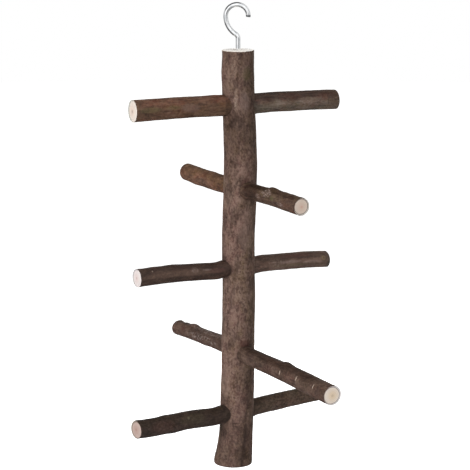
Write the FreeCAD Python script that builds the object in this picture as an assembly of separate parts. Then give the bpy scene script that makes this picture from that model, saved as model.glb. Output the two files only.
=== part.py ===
import FreeCAD
import Part
import itertools
import math
import os
from collections import namedtuple

# A hanging climbing ladder for cage birds, in millimetres: one upright branch with its bark
# on, five perches of bark-on branch pushed through cross holes in it, and a bright steel
# screw hook in its top.
#
# The origin is the point inside the hook's top where the bar of a cage bears, +Z is up.
# X runs along perches 1, 3 and 5, whose thick ends point to -X, and Y along perches 2 and 4,
# whose long ends point to -Y.

Vector = FreeCAD.Vector
UP = Vector(0, 0, 1)

# Screw hook
HOOK_WIRE = 4.8            # wire diameter
HOOK_TOP_RADIUS = 11.3     # centre line of the round top, from the tip to the outer side
HOOK_SIDE_RADIUS = 22.0    # centre line of the flatter side that leads to the neck
HOOK_NECK_RADIUS = 4.5     # centre line of the bend into the shank
HOOK_EYE_OFFSET = 1.1      # from the middle of the round top to the line of the shank
HOOK_TIP_ANGLE = -6.0      # where the tip ends, in degrees above the level of the eye's middle
HOOK_SHANK_SHOWN = 11.8    # straight shank above the wood
HOOK_SHANK_IN_WOOD = 30.0  # threaded length in the wood, point included
HOOK_POINT = 5.0           # length of the cone at the end of the shank
HOOK_TURN = -30.0          # heading of the plane of the hook, in degrees from +X
PILOT_CLEARANCE = 0.1      # between the shank and its pilot hole, on the radius
PILOT_EXTRA_DEPTH = 1.0    # pilot hole past the point of the screw

# Upright branch
TRUNK_DIAMETER = 33.7      # thickness that the swellings of its stations are counted from
TRUNK_FOOT = 56.5          # length below the middle of the lowest perch
TRUNK_BOTTOM_ROUND = 2.4   # rounding of the sawn lower edge
BEND_HEADING = -30.0       # heading of the first direction of the branch's bends, from +X

# Perches
BORE_CLEARANCE = 0.1       # between a perch and its cross hole, on the radius
SEAT_OVERHANG = 2.4        # straight seat of a perch past the side of the upright branch

# Sections of the branches
PERCH_SECTION_PITCH = 7.0  # greatest distance between two sections of a perch
TRUNK_SECTION_PITCH = 11.0
SECTION_POINTS = 18        # points round a section
OVALITY = 0.018            # how far a section is from round, as a share of its radius

# A station of a branch: its share of the way along, its drift from the straight line in two
# directions across it, and how much its radius there exceeds that of the branch.
Station = namedtuple("Station", "share first second swell")

# A knot: its share of the way along, the angle round the branch in degrees from the first
# direction of drift, its height, and its half width.
Knot = namedtuple("Knot", "share angle height width")

# One side of a perch: its length from the middle of the upright branch to the sawn end, and
# its stations and knots from the seat outwards. Drift is upwards first, then sideways.
Arm = namedtuple("Arm", "length stations knots")

# A perch: how far its middle lies below that of the perch above it, or below the top of the
# upright branch, the heading of its near arm in degrees from +X, the diameter of its seat,
# which fills its cross hole, and its two arms.
Perch = namedtuple("Perch", "gap heading diameter near far")

TRUNK_STATIONS = (
    Station(0.00, 0.0, 0.0, -0.55),
    Station(0.07, 0.0, 0.4, -0.4),
    Station(0.17, 1.4, 0.9, -0.15),
    Station(0.26, 2.6, 0.6, 0.1),
    Station(0.36, 1.7, -0.1, 0.25),
    Station(0.45, 0.3, -0.7, 0.0),
    Station(0.57, 0.9, -0.8, 0.0),
    Station(0.66, 0.3, -0.3, 0.1),
    Station(0.79, -0.2, 0.4, 0.5),
    Station(0.89, -1.4, 0.5, 0.95),
    Station(0.95, -2.5, 0.3, 1.2),
    Station(1.00, -3.0, 0.0, 1.5),
)
TRUNK_KNOTS = (
    Knot(0.990, 180.0, 3.9, 15.0),
    Knot(0.060, 178.0, 0.5, 7.0),
    Knot(0.235, 80.0, 0.9, 9.0),
    Knot(0.425, 262.0, 0.9, 8.0),
    Knot(0.600, 60.0, 1.1, 9.0),
    Knot(0.815, 215.0, 0.9, 9.0),
    Knot(0.900, 300.0, 0.8, 8.0),
)

PERCHES = (
    Perch(
        gap=55.0,
        heading=175.0,
        diameter=21.4,
        near=Arm(
            length=115.5,
            stations=(
                Station(0.00, 0.0, 0.0, 0.2),
                Station(0.25, 0.3, -0.5, 0.0),
                Station(0.50, 0.5, -0.7, 0.1),
                Station(0.75, 0.2, -0.2, 0.3),
                Station(1.00, -0.2, 0.6, 0.7),
            ),
            knots=(Knot(0.10, 10.0, 0.5, 6.0), Knot(0.62, 140.0, 0.5, 7.0)),
        ),
        far=Arm(
            length=110.0,
            stations=(
                Station(0.00, 0.0, 0.0, -0.25),
                Station(0.25, 0.4, 0.5, -0.35),
                Station(0.50, 0.1, 0.9, -0.55),
                Station(0.75, -0.2, 0.5, -0.45),
                Station(1.00, -1.1, -0.4, -0.35),
            ),
            knots=(Knot(0.42, 200.0, 0.5, 6.0), Knot(0.90, 80.0, 0.6, 5.0)),
        ),
    ),
    Perch(
        gap=86.0,
        heading=-89.0,
        diameter=18.1,
        near=Arm(
            length=114.5,
            stations=(
                Station(0.00, 0.0, 0.0, -0.25),
                Station(0.22, 0.4, 0.3, -0.55),
                Station(0.45, 0.9, 0.7, -0.45),
                Station(0.70, 0.5, 0.3, -0.15),
                Station(1.00, -0.6, -0.5, 0.0),
            ),
            knots=(Knot(0.48, 5.0, 1.9, 5.5), Knot(0.30, 250.0, 0.4, 6.0)),
        ),
        far=Arm(
            length=108.0,
            stations=(
                Station(0.00, 0.0, 0.0, 0.25),
                Station(0.30, -0.4, -0.4, 0.2),
                Station(0.60, 0.4, -0.8, 0.2),
                Station(1.00, 1.3, -0.2, 0.3),
            ),
            knots=(Knot(0.40, 20.0, 0.4, 6.0), Knot(0.72, 190.0, 0.6, 7.0)),
        ),
    ),
    Perch(
        gap=81.5,
        heading=180.0,
        diameter=18.1,
        near=Arm(
            length=117.5,
            stations=(
                Station(0.00, 0.0, 0.0, 0.15),
                Station(0.08, -0.9, 0.2, 0.0),
                Station(0.20, -0.3, 0.4, -0.2),
                Station(0.40, 0.7, 0.7, -0.1),
                Station(0.60, 1.7, 0.4, 0.15),
                Station(0.80, 1.7, -0.1, 0.05),
                Station(1.00, 1.6, -0.6, 0.4),
            ),
            knots=(Knot(0.57, 350.0, 0.5, 5.0), Knot(0.83, 20.0, 0.5, 5.0)),
        ),
        far=Arm(
            length=105.5,
            stations=(
                Station(0.00, 0.0, 0.0, -0.15),
                Station(0.08, 0.7, -0.1, -0.1),
                Station(0.20, 0.6, -0.3, -0.2),
                Station(0.50, -0.3, -0.6, -0.3),
                Station(0.75, -1.1, -0.2, -0.25),
                Station(1.00, -2.7, 0.5, -0.25),
            ),
            knots=(Knot(0.93, 75.0, 0.9, 5.0), Knot(0.40, 215.0, 0.4, 6.0)),
        ),
    ),
    Perch(
        gap=89.0,
        heading=-92.0,
        diameter=17.7,
        near=Arm(
            length=189.0,
            stations=(
                Station(0.00, 0.0, 0.0, 0.25),
                Station(0.20, 0.8, 0.6, 0.4),
                Station(0.40, 1.6, 0.9, 0.6),
                Station(0.60, 1.6, 0.4, 0.8),
                Station(0.80, 0.9, -0.3, 0.9),
                Station(1.00, 0.2, -1.0, 1.0),
            ),
            knots=(Knot(0.49, 350.0, 1.5, 6.0), Knot(0.68, 185.0, 0.8, 6.0)),
        ),
        far=Arm(
            length=137.0,
            stations=(
                Station(0.00, 0.0, 0.0, -0.15),
                Station(0.25, -0.8, 0.5, -0.35),
                Station(0.50, -2.5, 0.8, -0.65),
                Station(0.75, -3.6, 0.2, -0.55),
                Station(1.00, -5.5, -0.7, -0.7),
            ),
            knots=(
                Knot(0.69, 10.0, 1.4, 6.0),
                Knot(0.86, 120.0, 0.9, 5.0),
                Knot(0.45, 200.0, 0.6, 6.0),
            ),
        ),
    ),
    Perch(
        gap=64.4,
        heading=186.0,
        diameter=18.5,
        near=Arm(
            length=124.5,
            stations=(
                Station(0.00, 0.0, 0.0, 0.15),
                Station(0.08, -0.8, -0.2, 0.2),
                Station(0.20, 0.0, -0.5, 0.3),
                Station(0.40, 1.3, -0.7, 0.35),
                Station(0.60, 1.1, -0.2, 0.4),
                Station(0.80, 1.0, 0.4, 0.4),
                Station(1.00, 1.8, 0.8, 0.4),
            ),
            knots=(Knot(0.58, 175.0, 1.1, 5.0), Knot(0.66, 5.0, 0.5, 6.0)),
        ),
        far=Arm(
            length=105.0,
            stations=(
                Station(0.00, 0.0, 0.0, -0.15),
                Station(0.08, 0.9, 0.1, -0.2),
                Station(0.30, 1.5, 0.4, -0.25),
                Station(0.60, 2.0, 0.6, -0.45),
                Station(1.00, 1.9, 0.1, -0.5),
            ),
            knots=(Knot(0.35, 180.0, 0.6, 5.0),),
        ),
    ),
)


def heading_vector(degrees):
    """The level direction at this heading from +X."""
    angle = math.radians(degrees)
    return Vector(math.cos(angle), math.sin(angle), 0)


def station_at(stations, share):
    """The station at this share of the way, on a smooth curve through the given ones."""
    passed = sum(1 for station in stations if station.share <= share)
    start = stations[min(passed, len(stations) - 1) - 1]
    end = stations[min(passed, len(stations) - 1)]
    before = stations[max(0, stations.index(start) - 1)]
    after = stations[min(len(stations) - 1, stations.index(end) + 1)]
    span = end.share - start.share
    step = (share - start.share) / span

    def blend(name):
        leave = (getattr(end, name) - getattr(before, name)) / (end.share - before.share)
        arrive = (getattr(after, name) - getattr(start, name)) / (after.share - start.share)
        return (
            (2 * step**3 - 3 * step**2 + 1) * getattr(start, name)
            + (step**3 - 2 * step**2 + step) * leave * span
            + (3 * step**2 - 2 * step**3) * getattr(end, name)
            + (step**3 - step**2) * arrive * span
        )

    return Station(share, blend("first"), blend("second"), blend("swell"))


def section(start, along, first, second, length, radius, stations, knots, share):
    """The closed outline of a branch at this share of its length."""
    station = station_at(stations, share)
    middle = start + along * (share * length) + first * station.first + second * station.second
    mean = radius + station.swell
    points = []
    for number in range(SECTION_POINTS):
        angle = 2 * math.pi * number / SECTION_POINTS
        reach = mean * (1 + OVALITY * share * math.sin(2 * angle + 4 * share))
        for knot in knots:
            lengthways = (share - knot.share) * length / knot.width
            turn = math.remainder(angle - math.radians(knot.angle), 2 * math.pi)
            round_it = turn * mean / knot.width
            reach += knot.height * math.exp(-(lengthways**2) - round_it**2)
        points.append(middle + (first * math.cos(angle) + second * math.sin(angle)) * reach)
    curve = Part.BSplineCurve()
    curve.interpolate(Points=points, PeriodicFlag=True)
    return Part.Wire([curve.toShape()])


def branch(start, along, first, second, length, radius, stations, knots, pitch):
    """A solid length of branch from start, with its bends, taper and knots."""
    count = max(4, math.ceil(length / pitch))
    wires = [
        section(start, along, first, second, length, radius, stations, knots, number / count)
        for number in range(count + 1)
    ]
    return Part.makeLoft(wires, True, False)


def perch_depths():
    """How far the middle of each perch lies below the top of the upright branch."""
    return list(itertools.accumulate(perch.gap for perch in PERCHES))


def trunk_length():
    """Length of the upright branch, from its top to its foot."""
    return perch_depths()[-1] + TRUNK_FOOT


def shank_axis():
    """The level place of the shank, which is the middle of the top of the upright branch."""
    return heading_vector(HOOK_TURN) * HOOK_EYE_OFFSET


def hook_neck():
    """Centre of the neck's bend, beside the shank's line and below the eye's middle."""
    side_centre = HOOK_SIDE_RADIUS - HOOK_TOP_RADIUS
    across = side_centre - (HOOK_EYE_OFFSET - HOOK_NECK_RADIUS)
    reach = HOOK_SIDE_RADIUS + HOOK_NECK_RADIUS
    return HOOK_EYE_OFFSET - HOOK_NECK_RADIUS, -math.sqrt(reach**2 - across**2)


def eye_height():
    """Height of the eye's middle: the bar bears at the origin, inside the wire."""
    return -(HOOK_TOP_RADIUS - HOOK_WIRE / 2)


def trunk_top():
    """Height of the top of the upright branch."""
    return eye_height() + hook_neck()[1] - HOOK_SHANK_SHOWN


def trunk_frame():
    """The two level directions in which the upright branch drifts."""
    first = heading_vector(BEND_HEADING)
    return first, UP.cross(first)


def trunk_middle(depth):
    """Middle of the upright branch this far below its top, and its radius there."""
    first, second = trunk_frame()
    station = station_at(TRUNK_STATIONS, depth / trunk_length())
    middle = shank_axis() + UP * (trunk_top() - depth)
    middle += first * station.first + second * station.second
    return middle, TRUNK_DIAMETER / 2 + station.swell


def hook_solid():
    """The screw hook: round wire bent to an open eye, with a pointed shank."""
    across = heading_vector(HOOK_TURN)
    eye = UP * eye_height()

    def place(right, up):
        return eye + across * right + UP * up

    def on_circle(centre, radius, degrees):
        angle = math.radians(degrees)
        return place(centre[0] + radius * math.cos(angle), centre[1] + radius * math.sin(angle))

    side = (HOOK_SIDE_RADIUS - HOOK_TOP_RADIUS, 0.0)
    neck = hook_neck()
    meet = math.degrees(math.atan2(side[1] - neck[1], side[0] - neck[0]))
    tip = HOOK_TIP_ANGLE
    path = Part.Wire(
        [
            Part.Arc(
                on_circle((0, 0), HOOK_TOP_RADIUS, tip),
                on_circle((0, 0), HOOK_TOP_RADIUS, (180 + tip) / 2),
                on_circle((0, 0), HOOK_TOP_RADIUS, 180),
            ).toShape(),
            Part.Arc(
                on_circle(side, HOOK_SIDE_RADIUS, 180),
                on_circle(side, HOOK_SIDE_RADIUS, (360 + meet) / 2),
                on_circle(side, HOOK_SIDE_RADIUS, 180 + meet),
            ).toShape(),
            Part.Arc(
                on_circle(neck, HOOK_NECK_RADIUS, meet),
                on_circle(neck, HOOK_NECK_RADIUS, meet / 2),
                on_circle(neck, HOOK_NECK_RADIUS, 0),
            ).toShape(),
        ]
    )
    start = on_circle((0, 0), HOOK_TOP_RADIUS, tip)
    away = UP.cross(across)
    heading = start - eye
    tangent = away.cross(heading)
    profile = Part.Wire([Part.makeCircle(HOOK_WIRE / 2, start, tangent)])
    bent = path.makePipeShell([profile], True, False)

    shank_start = place(HOOK_EYE_OFFSET, neck[1])
    straight = HOOK_SHANK_SHOWN + HOOK_SHANK_IN_WOOD - HOOK_POINT
    shank = Part.makeCylinder(HOOK_WIRE / 2, straight, shank_start, -UP)
    point = Part.makeCone(HOOK_WIRE / 2, 0, HOOK_POINT, shank_start - UP * straight, -UP)
    return bent.fuse([shank, point]).removeSplitter()


def perch_solid(perch, depth):
    """One perch: two arms of natural branch, and the straight seat between them."""
    middle, trunk_radius = trunk_middle(depth)
    near = heading_vector(perch.heading)
    half = trunk_radius + SEAT_OVERHANG
    seat = Part.makeCylinder(perch.diameter / 2, 2 * half, middle - near * half, near)
    arms = []
    for along, arm in ((near, perch.near), (-near, perch.far)):
        arms.append(
            branch(
                middle + along * half,
                along,
                UP,
                along.cross(UP),
                arm.length - half,
                perch.diameter / 2,
                arm.stations,
                arm.knots,
                PERCH_SECTION_PITCH,
            )
        )
    return seat.fuse(arms)


def cross_hole(perch, depth):
    """The hole through the upright branch that one perch fills."""
    middle, trunk_radius = trunk_middle(depth)
    near = heading_vector(perch.heading)
    reach = 2 * trunk_radius
    radius = perch.diameter / 2 + BORE_CLEARANCE
    return Part.makeCylinder(radius, 2 * reach, middle - near * reach, near)


def trunk_solid():
    """The upright branch, with five cross holes and the pilot hole of the hook."""
    first, second = trunk_frame()
    top = shank_axis() + UP * trunk_top()
    wood = branch(
        top,
        -UP,
        first,
        second,
        trunk_length(),
        TRUNK_DIAMETER / 2,
        TRUNK_STATIONS,
        TRUNK_KNOTS,
        TRUNK_SECTION_PITCH,
    )
    foot = min(wood.Faces, key=lambda face: face.CenterOfMass.z)
    wood = wood.makeFillet(TRUNK_BOTTOM_ROUND, foot.Edges)
    holes = [cross_hole(perch, depth) for perch, depth in zip(PERCHES, perch_depths())]
    pilot_radius = HOOK_WIRE / 2 + PILOT_CLEARANCE
    pilot_depth = HOOK_SHANK_IN_WOOD - HOOK_POINT
    cone_length = HOOK_POINT + PILOT_EXTRA_DEPTH
    holes.append(Part.makeCylinder(pilot_radius, pilot_depth, top, -UP))
    holes.append(Part.makeCone(pilot_radius, 0, cone_length, top - UP * pilot_depth, -UP))
    return wood.cut(holes)


def main():
    """Build every piece and write one file for each."""
    os.makedirs("parts", exist_ok=True)
    pieces = {"trunk": trunk_solid(), "screw_hook": hook_solid()}
    for number, (perch, depth) in enumerate(zip(PERCHES, perch_depths()), start=1):
        pieces[f"perch_{number}"] = perch_solid(perch, depth)
    for name, shape in pieces.items():
        print(name, len(shape.Solids), shape.isValid(), round(shape.Volume))
        shape.exportStep(os.path.join("parts", f"{name}.step"))


main()
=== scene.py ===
"""A hanging bark-wood climbing ladder for cage birds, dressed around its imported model.

The upright branch, the five perches and the screw hook are new meshes that take their outer
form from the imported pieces. Bark relief, sawn ends, scars and the screw thread are added here.
"""

import logging
import math
from dataclasses import dataclass
from enum import Enum

import bmesh
import bpy
import numpy as np
from mathutils import Matrix, Vector, noise
from mathutils.bvhtree import BVHTree


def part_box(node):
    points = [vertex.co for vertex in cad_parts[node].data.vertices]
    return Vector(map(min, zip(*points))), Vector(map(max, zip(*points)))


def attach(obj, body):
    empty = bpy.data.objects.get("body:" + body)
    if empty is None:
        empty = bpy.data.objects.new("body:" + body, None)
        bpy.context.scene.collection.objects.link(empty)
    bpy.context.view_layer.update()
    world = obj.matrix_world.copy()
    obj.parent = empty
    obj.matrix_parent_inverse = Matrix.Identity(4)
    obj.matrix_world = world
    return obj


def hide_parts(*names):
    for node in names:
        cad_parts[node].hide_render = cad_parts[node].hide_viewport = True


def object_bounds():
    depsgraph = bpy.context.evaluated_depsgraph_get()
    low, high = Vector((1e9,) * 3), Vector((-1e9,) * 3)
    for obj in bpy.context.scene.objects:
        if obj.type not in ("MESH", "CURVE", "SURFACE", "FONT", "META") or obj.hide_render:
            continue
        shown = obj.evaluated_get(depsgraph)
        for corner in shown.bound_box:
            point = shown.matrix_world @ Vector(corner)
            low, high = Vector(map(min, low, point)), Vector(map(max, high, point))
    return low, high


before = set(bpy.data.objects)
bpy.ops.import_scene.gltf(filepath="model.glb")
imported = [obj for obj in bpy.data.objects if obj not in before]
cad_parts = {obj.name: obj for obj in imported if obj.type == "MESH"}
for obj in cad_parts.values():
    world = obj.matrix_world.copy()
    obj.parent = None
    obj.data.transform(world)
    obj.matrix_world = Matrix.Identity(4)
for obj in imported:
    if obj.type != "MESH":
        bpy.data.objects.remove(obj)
cad_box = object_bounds()

log = logging.getLogger("bird_ladder")

MM = 0.001
TURN = 2 * math.pi
UP = Vector((0.0, 0.0, 1.0))
RELIEF_RANGE = 0.5 * MM    # bark height that the relief attribute calls 1
END_LENGTH = 3.0 * MM      # of a branch's ends, where its rings of corners lie closer
END_SHARES = (0.965, 0.93, 0.89, 0.83, 0.74, 0.63, 0.51, 0.39, 0.27, 0.15, 0.06)  # rings of a sawn end
END_PITCH = 0.35           # share of the usual pitch at those ends
MERGE = 0.001 * MM         # corners closer than this become one
FAR_BLEND = 15 * MM        # half the length over which the painted light on a perch's far half comes in
MARK_BUMP = 0.6            # what a raised or sunk mark adds to the bump
SECOND_SEED = 0.37         # between the seeds of the two layers of patches in the bark
BRANCH_CREASE = math.radians(38)
WIRE_CREASE = math.radians(40)
IMAGE_PIXELS = 470

Colour = tuple[float, float, float, float]


def srgb(red: int, green: int, blue: int) -> Colour:
    """The linear colour of a screen colour.

    Args:
        red: Red, from 0 to 255.
        green: Green, from 0 to 255.
        blue: Blue, from 0 to 255.

    Returns:
        The colour as the shaders take it.
    """
    parts = (channel / 255 for channel in (red, green, blue))
    return (*(((part + 0.055) / 1.055) ** 2.4 if part > 0.04 else part / 12.92 for part in parts), 1.0)


def smooth(low: float, high: float, value: np.ndarray) -> np.ndarray:
    """An even rise from 0 at low to 1 at high.

    Args:
        low: Where the rise starts.
        high: Where the rise ends.
        value: The values to place on the rise.

    Returns:
        The height of the rise at each value.
    """
    step = np.clip((value - low) / (high - low), 0.0, 1.0)
    return step * step * (3 - 2 * step)


def turned_to(direction: Vector) -> Matrix:
    """The turn that brings +Z to a direction."""
    return direction.to_track_quat("Z", "Y").to_matrix().to_4x4()


def added(name: str, data: object) -> bpy.types.Object:
    """A new object in the scene, with this data."""
    thing = bpy.data.objects.new(name, data)
    bpy.context.scene.collection.objects.link(thing)
    return thing


def settled(name: str, form: bmesh.types.BMesh) -> bpy.types.Mesh:
    """A new mesh with the faces of a form, which is freed."""
    mesh = bpy.data.meshes.new(name)
    form.to_mesh(mesh)
    form.free()
    return mesh


def corners_of(mesh: bpy.types.Mesh) -> np.ndarray:
    """The corners of a mesh, as one row of three coordinates for each."""
    corners = np.empty(len(mesh.vertices) * 3)
    mesh.vertices.foreach_get("co", corners)
    return corners.reshape(-1, 3)


class Facing(Enum):
    """Where the near end of a perch points, roughly."""

    LEFT = (-1.0, 0.0, 0.0)
    FRONT = (0.0, -1.0, 0.0)
    DOWN = (0.0, 0.0, -1.0)


@dataclass(frozen=True)
class Mark:
    """A small oval mark on the bark, such as a pore, a bud scar or a crack.

    Attributes:
        along: Place along the branch, in mm from the line of the hook.
        angle: Place round the branch, in degrees from its first direction.
        round_half: Half its size round the branch, in mm.
        along_half: Half its size along the branch, in mm.
        colour: Its colour.
        strength: How much of that colour shows, from 0 to 1.
        broken: How much it is broken up into specks, from 0 to 1.
        height: How far it stands out of the bark, in mm. A pit is below 0.
        stain: Whether the bark's own colours show through it, multiplied by its colour.
    """

    along: float
    angle: float
    round_half: float
    along_half: float
    colour: Colour
    strength: float = 0.8
    broken: float = 0.0
    height: float = 0.0
    stain: bool = False


@dataclass(frozen=True)
class BarkFinish:
    """The bark of one branch.

    Attributes:
        ground: Main colour.
        bloom: Colour of the pale worn skin on what stands out.
        blush: Colour of the reddish patches.
        moss: Colour of the olive side.
        crevice: Colour of the pits and the cracks, and of the painted shade in the gaps.
        blush_amount: How much of the reddish patches shows.
        moss_amount: How much of the olive side shows.
        moss_side: Where the olive side faces, in degrees round the branch.
        blotch: How much of the soft dark patches shows.
        speckle: How much of the fine pale and dark speckle shows.
        streak: How much of the fine lengthwise streaks shows.
        crack: How much of the small cracks shows.
        gap_shade: How dark the gap beside the crossing branch is.
        sheen: How glossy the smooth parts of the bark are.
        far_painted_light: What the colours beyond the upright branch are multiplied by: painted light on
            the far half.
        seed: Shifts the patterns, so that no two branches look the same.
    """

    ground: Colour
    bloom: Colour
    blush: Colour
    moss: Colour
    crevice: Colour = srgb(42, 31, 27)
    blush_amount: float = 0.6
    moss_amount: float = 0.6
    moss_side: float = 0.0
    blotch: float = 0.35
    speckle: float = 0.35
    streak: float = 0.25
    crack: float = 0.15
    gap_shade: float = 0.35
    sheen: float = 0.4
    far_painted_light: Colour = (1.0, 1.0, 1.0, 1.0)
    seed: float = 0.0


@dataclass(frozen=True)
class CutFinish:
    """A sawn end of a branch.

    Attributes:
        sapwood: Colour of the outer wood.
        heart: Colour of the inner wood.
        ring: Colour of the growth rings.
        pith: Colour of the pith.
        bast: Colour of the thin inner bark.
        bark: Colour of the cut outer bark.
        bark_share: Thickness of both layers of bark, as a share of the radius.
        lean: How much further inwards the colours of the bark reach on one side, as a share of the radius.
        lean_side: Where that side faces, in degrees round the branch.
    """

    sapwood: Colour
    heart: Colour
    ring: Colour
    pith: Colour
    bast: Colour
    bark: Colour
    bark_share: float = 0.13
    lean: float = 0.03
    lean_side: float = 180.0


class Weaver:
    """Adds and joins the nodes of one node tree."""

    def __init__(self, tree: bpy.types.NodeTree) -> None:
        """Keeps the tree.

        Args:
            tree: The node tree to work in.
        """
        self.tree = tree

    def put(self, socket: bpy.types.NodeSocket, value: object) -> None:
        """Joins a socket to another, or sets its own value.

        Args:
            socket: The input socket.
            value: An output socket, or a plain value.
        """
        if isinstance(value, bpy.types.NodeSocket):
            self.tree.links.new(value, socket)
        else:
            socket.default_value = value

    def add(self, kind: str, inputs: dict | None = None, **settings: object) -> bpy.types.Node:
        """Adds one node.

        Args:
            kind: The node's type in Blender.
            inputs: Values or output sockets, by the name or number of the input.
            settings: The node's own settings.

        Returns:
            The new node.
        """
        node = self.tree.nodes.new(kind)
        for name, value in settings.items():
            setattr(node, name, value)
        for name, value in (inputs or {}).items():
            self.put(node.inputs[name], value)
        return node

    def math(self, operation: str, first: object, second: object = 0.0) -> bpy.types.NodeSocket:
        """The result of a sum on two numbers."""
        return self.add("ShaderNodeMath", {0: first, 1: second}, operation=operation).outputs[0]

    def vector(self, operation: str, first: object, second: object) -> bpy.types.Node:
        """The node of a sum on two vectors."""
        return self.add("ShaderNodeVectorMath", {0: first, 1: second}, operation=operation)

    def dot(self, first: object, second: object) -> bpy.types.NodeSocket:
        """The dot product of two vectors."""
        return self.vector("DOT_PRODUCT", first, second).outputs["Value"]

    def scaled(self, place: object, factors: tuple[float, float, float]) -> bpy.types.NodeSocket:
        """A vector stretched along each axis."""
        return self.vector("MULTIPLY", place, factors).outputs[0]

    def shifted(self, place: object, seed: object) -> bpy.types.NodeSocket:
        """A place moved equally along each axis by a seed."""
        shift = self.add("ShaderNodeCombineXYZ", {0: seed, 1: seed, 2: seed})
        return self.vector("ADD", place, shift.outputs[0]).outputs[0]

    def wobbled(self, place: object, size: float, reach: float) -> bpy.types.NodeSocket:
        """A place pushed about by noise, so that outlines drawn on it are uneven."""
        cloud = self.add("ShaderNodeTexNoise", {"Vector": place, "Scale": 1 / size}).outputs["Color"]
        return self.vector("ADD", place, self.scaled(cloud, (reach,) * 3)).outputs[0]

    def rise(self, value: object, low: float, high: float) -> bpy.types.NodeSocket:
        """An even rise from 0 where the value is low to 1 where it is high."""
        inputs = {"Value": value, "From Min": low, "From Max": high}
        return self.add("ShaderNodeMapRange", inputs, interpolation_type="SMOOTHSTEP").outputs[0]

    def mix(self, share: object, first: object, second: object, blend: str = "MIX") -> bpy.types.NodeSocket:
        """A colour between two others."""
        node = self.add("ShaderNodeMix", data_type="RGBA", blend_type=blend, clamp_factor=True)
        self.put(node.inputs[0], share)
        self.put(node.inputs[6], first)
        self.put(node.inputs[7], second)
        return node.outputs[2]

    def noise(
        self, place: object, size: float, detail: float = 3.0, rough: float = 0.55
    ) -> bpy.types.NodeSocket:
        """Cloudy noise from 0 to 1 whose blobs are about this size in metres."""
        inputs = {"Vector": place, "Scale": 1 / size, "Detail": detail, "Roughness": rough}
        return self.add("ShaderNodeTexNoise", inputs).outputs["Fac"]


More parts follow.
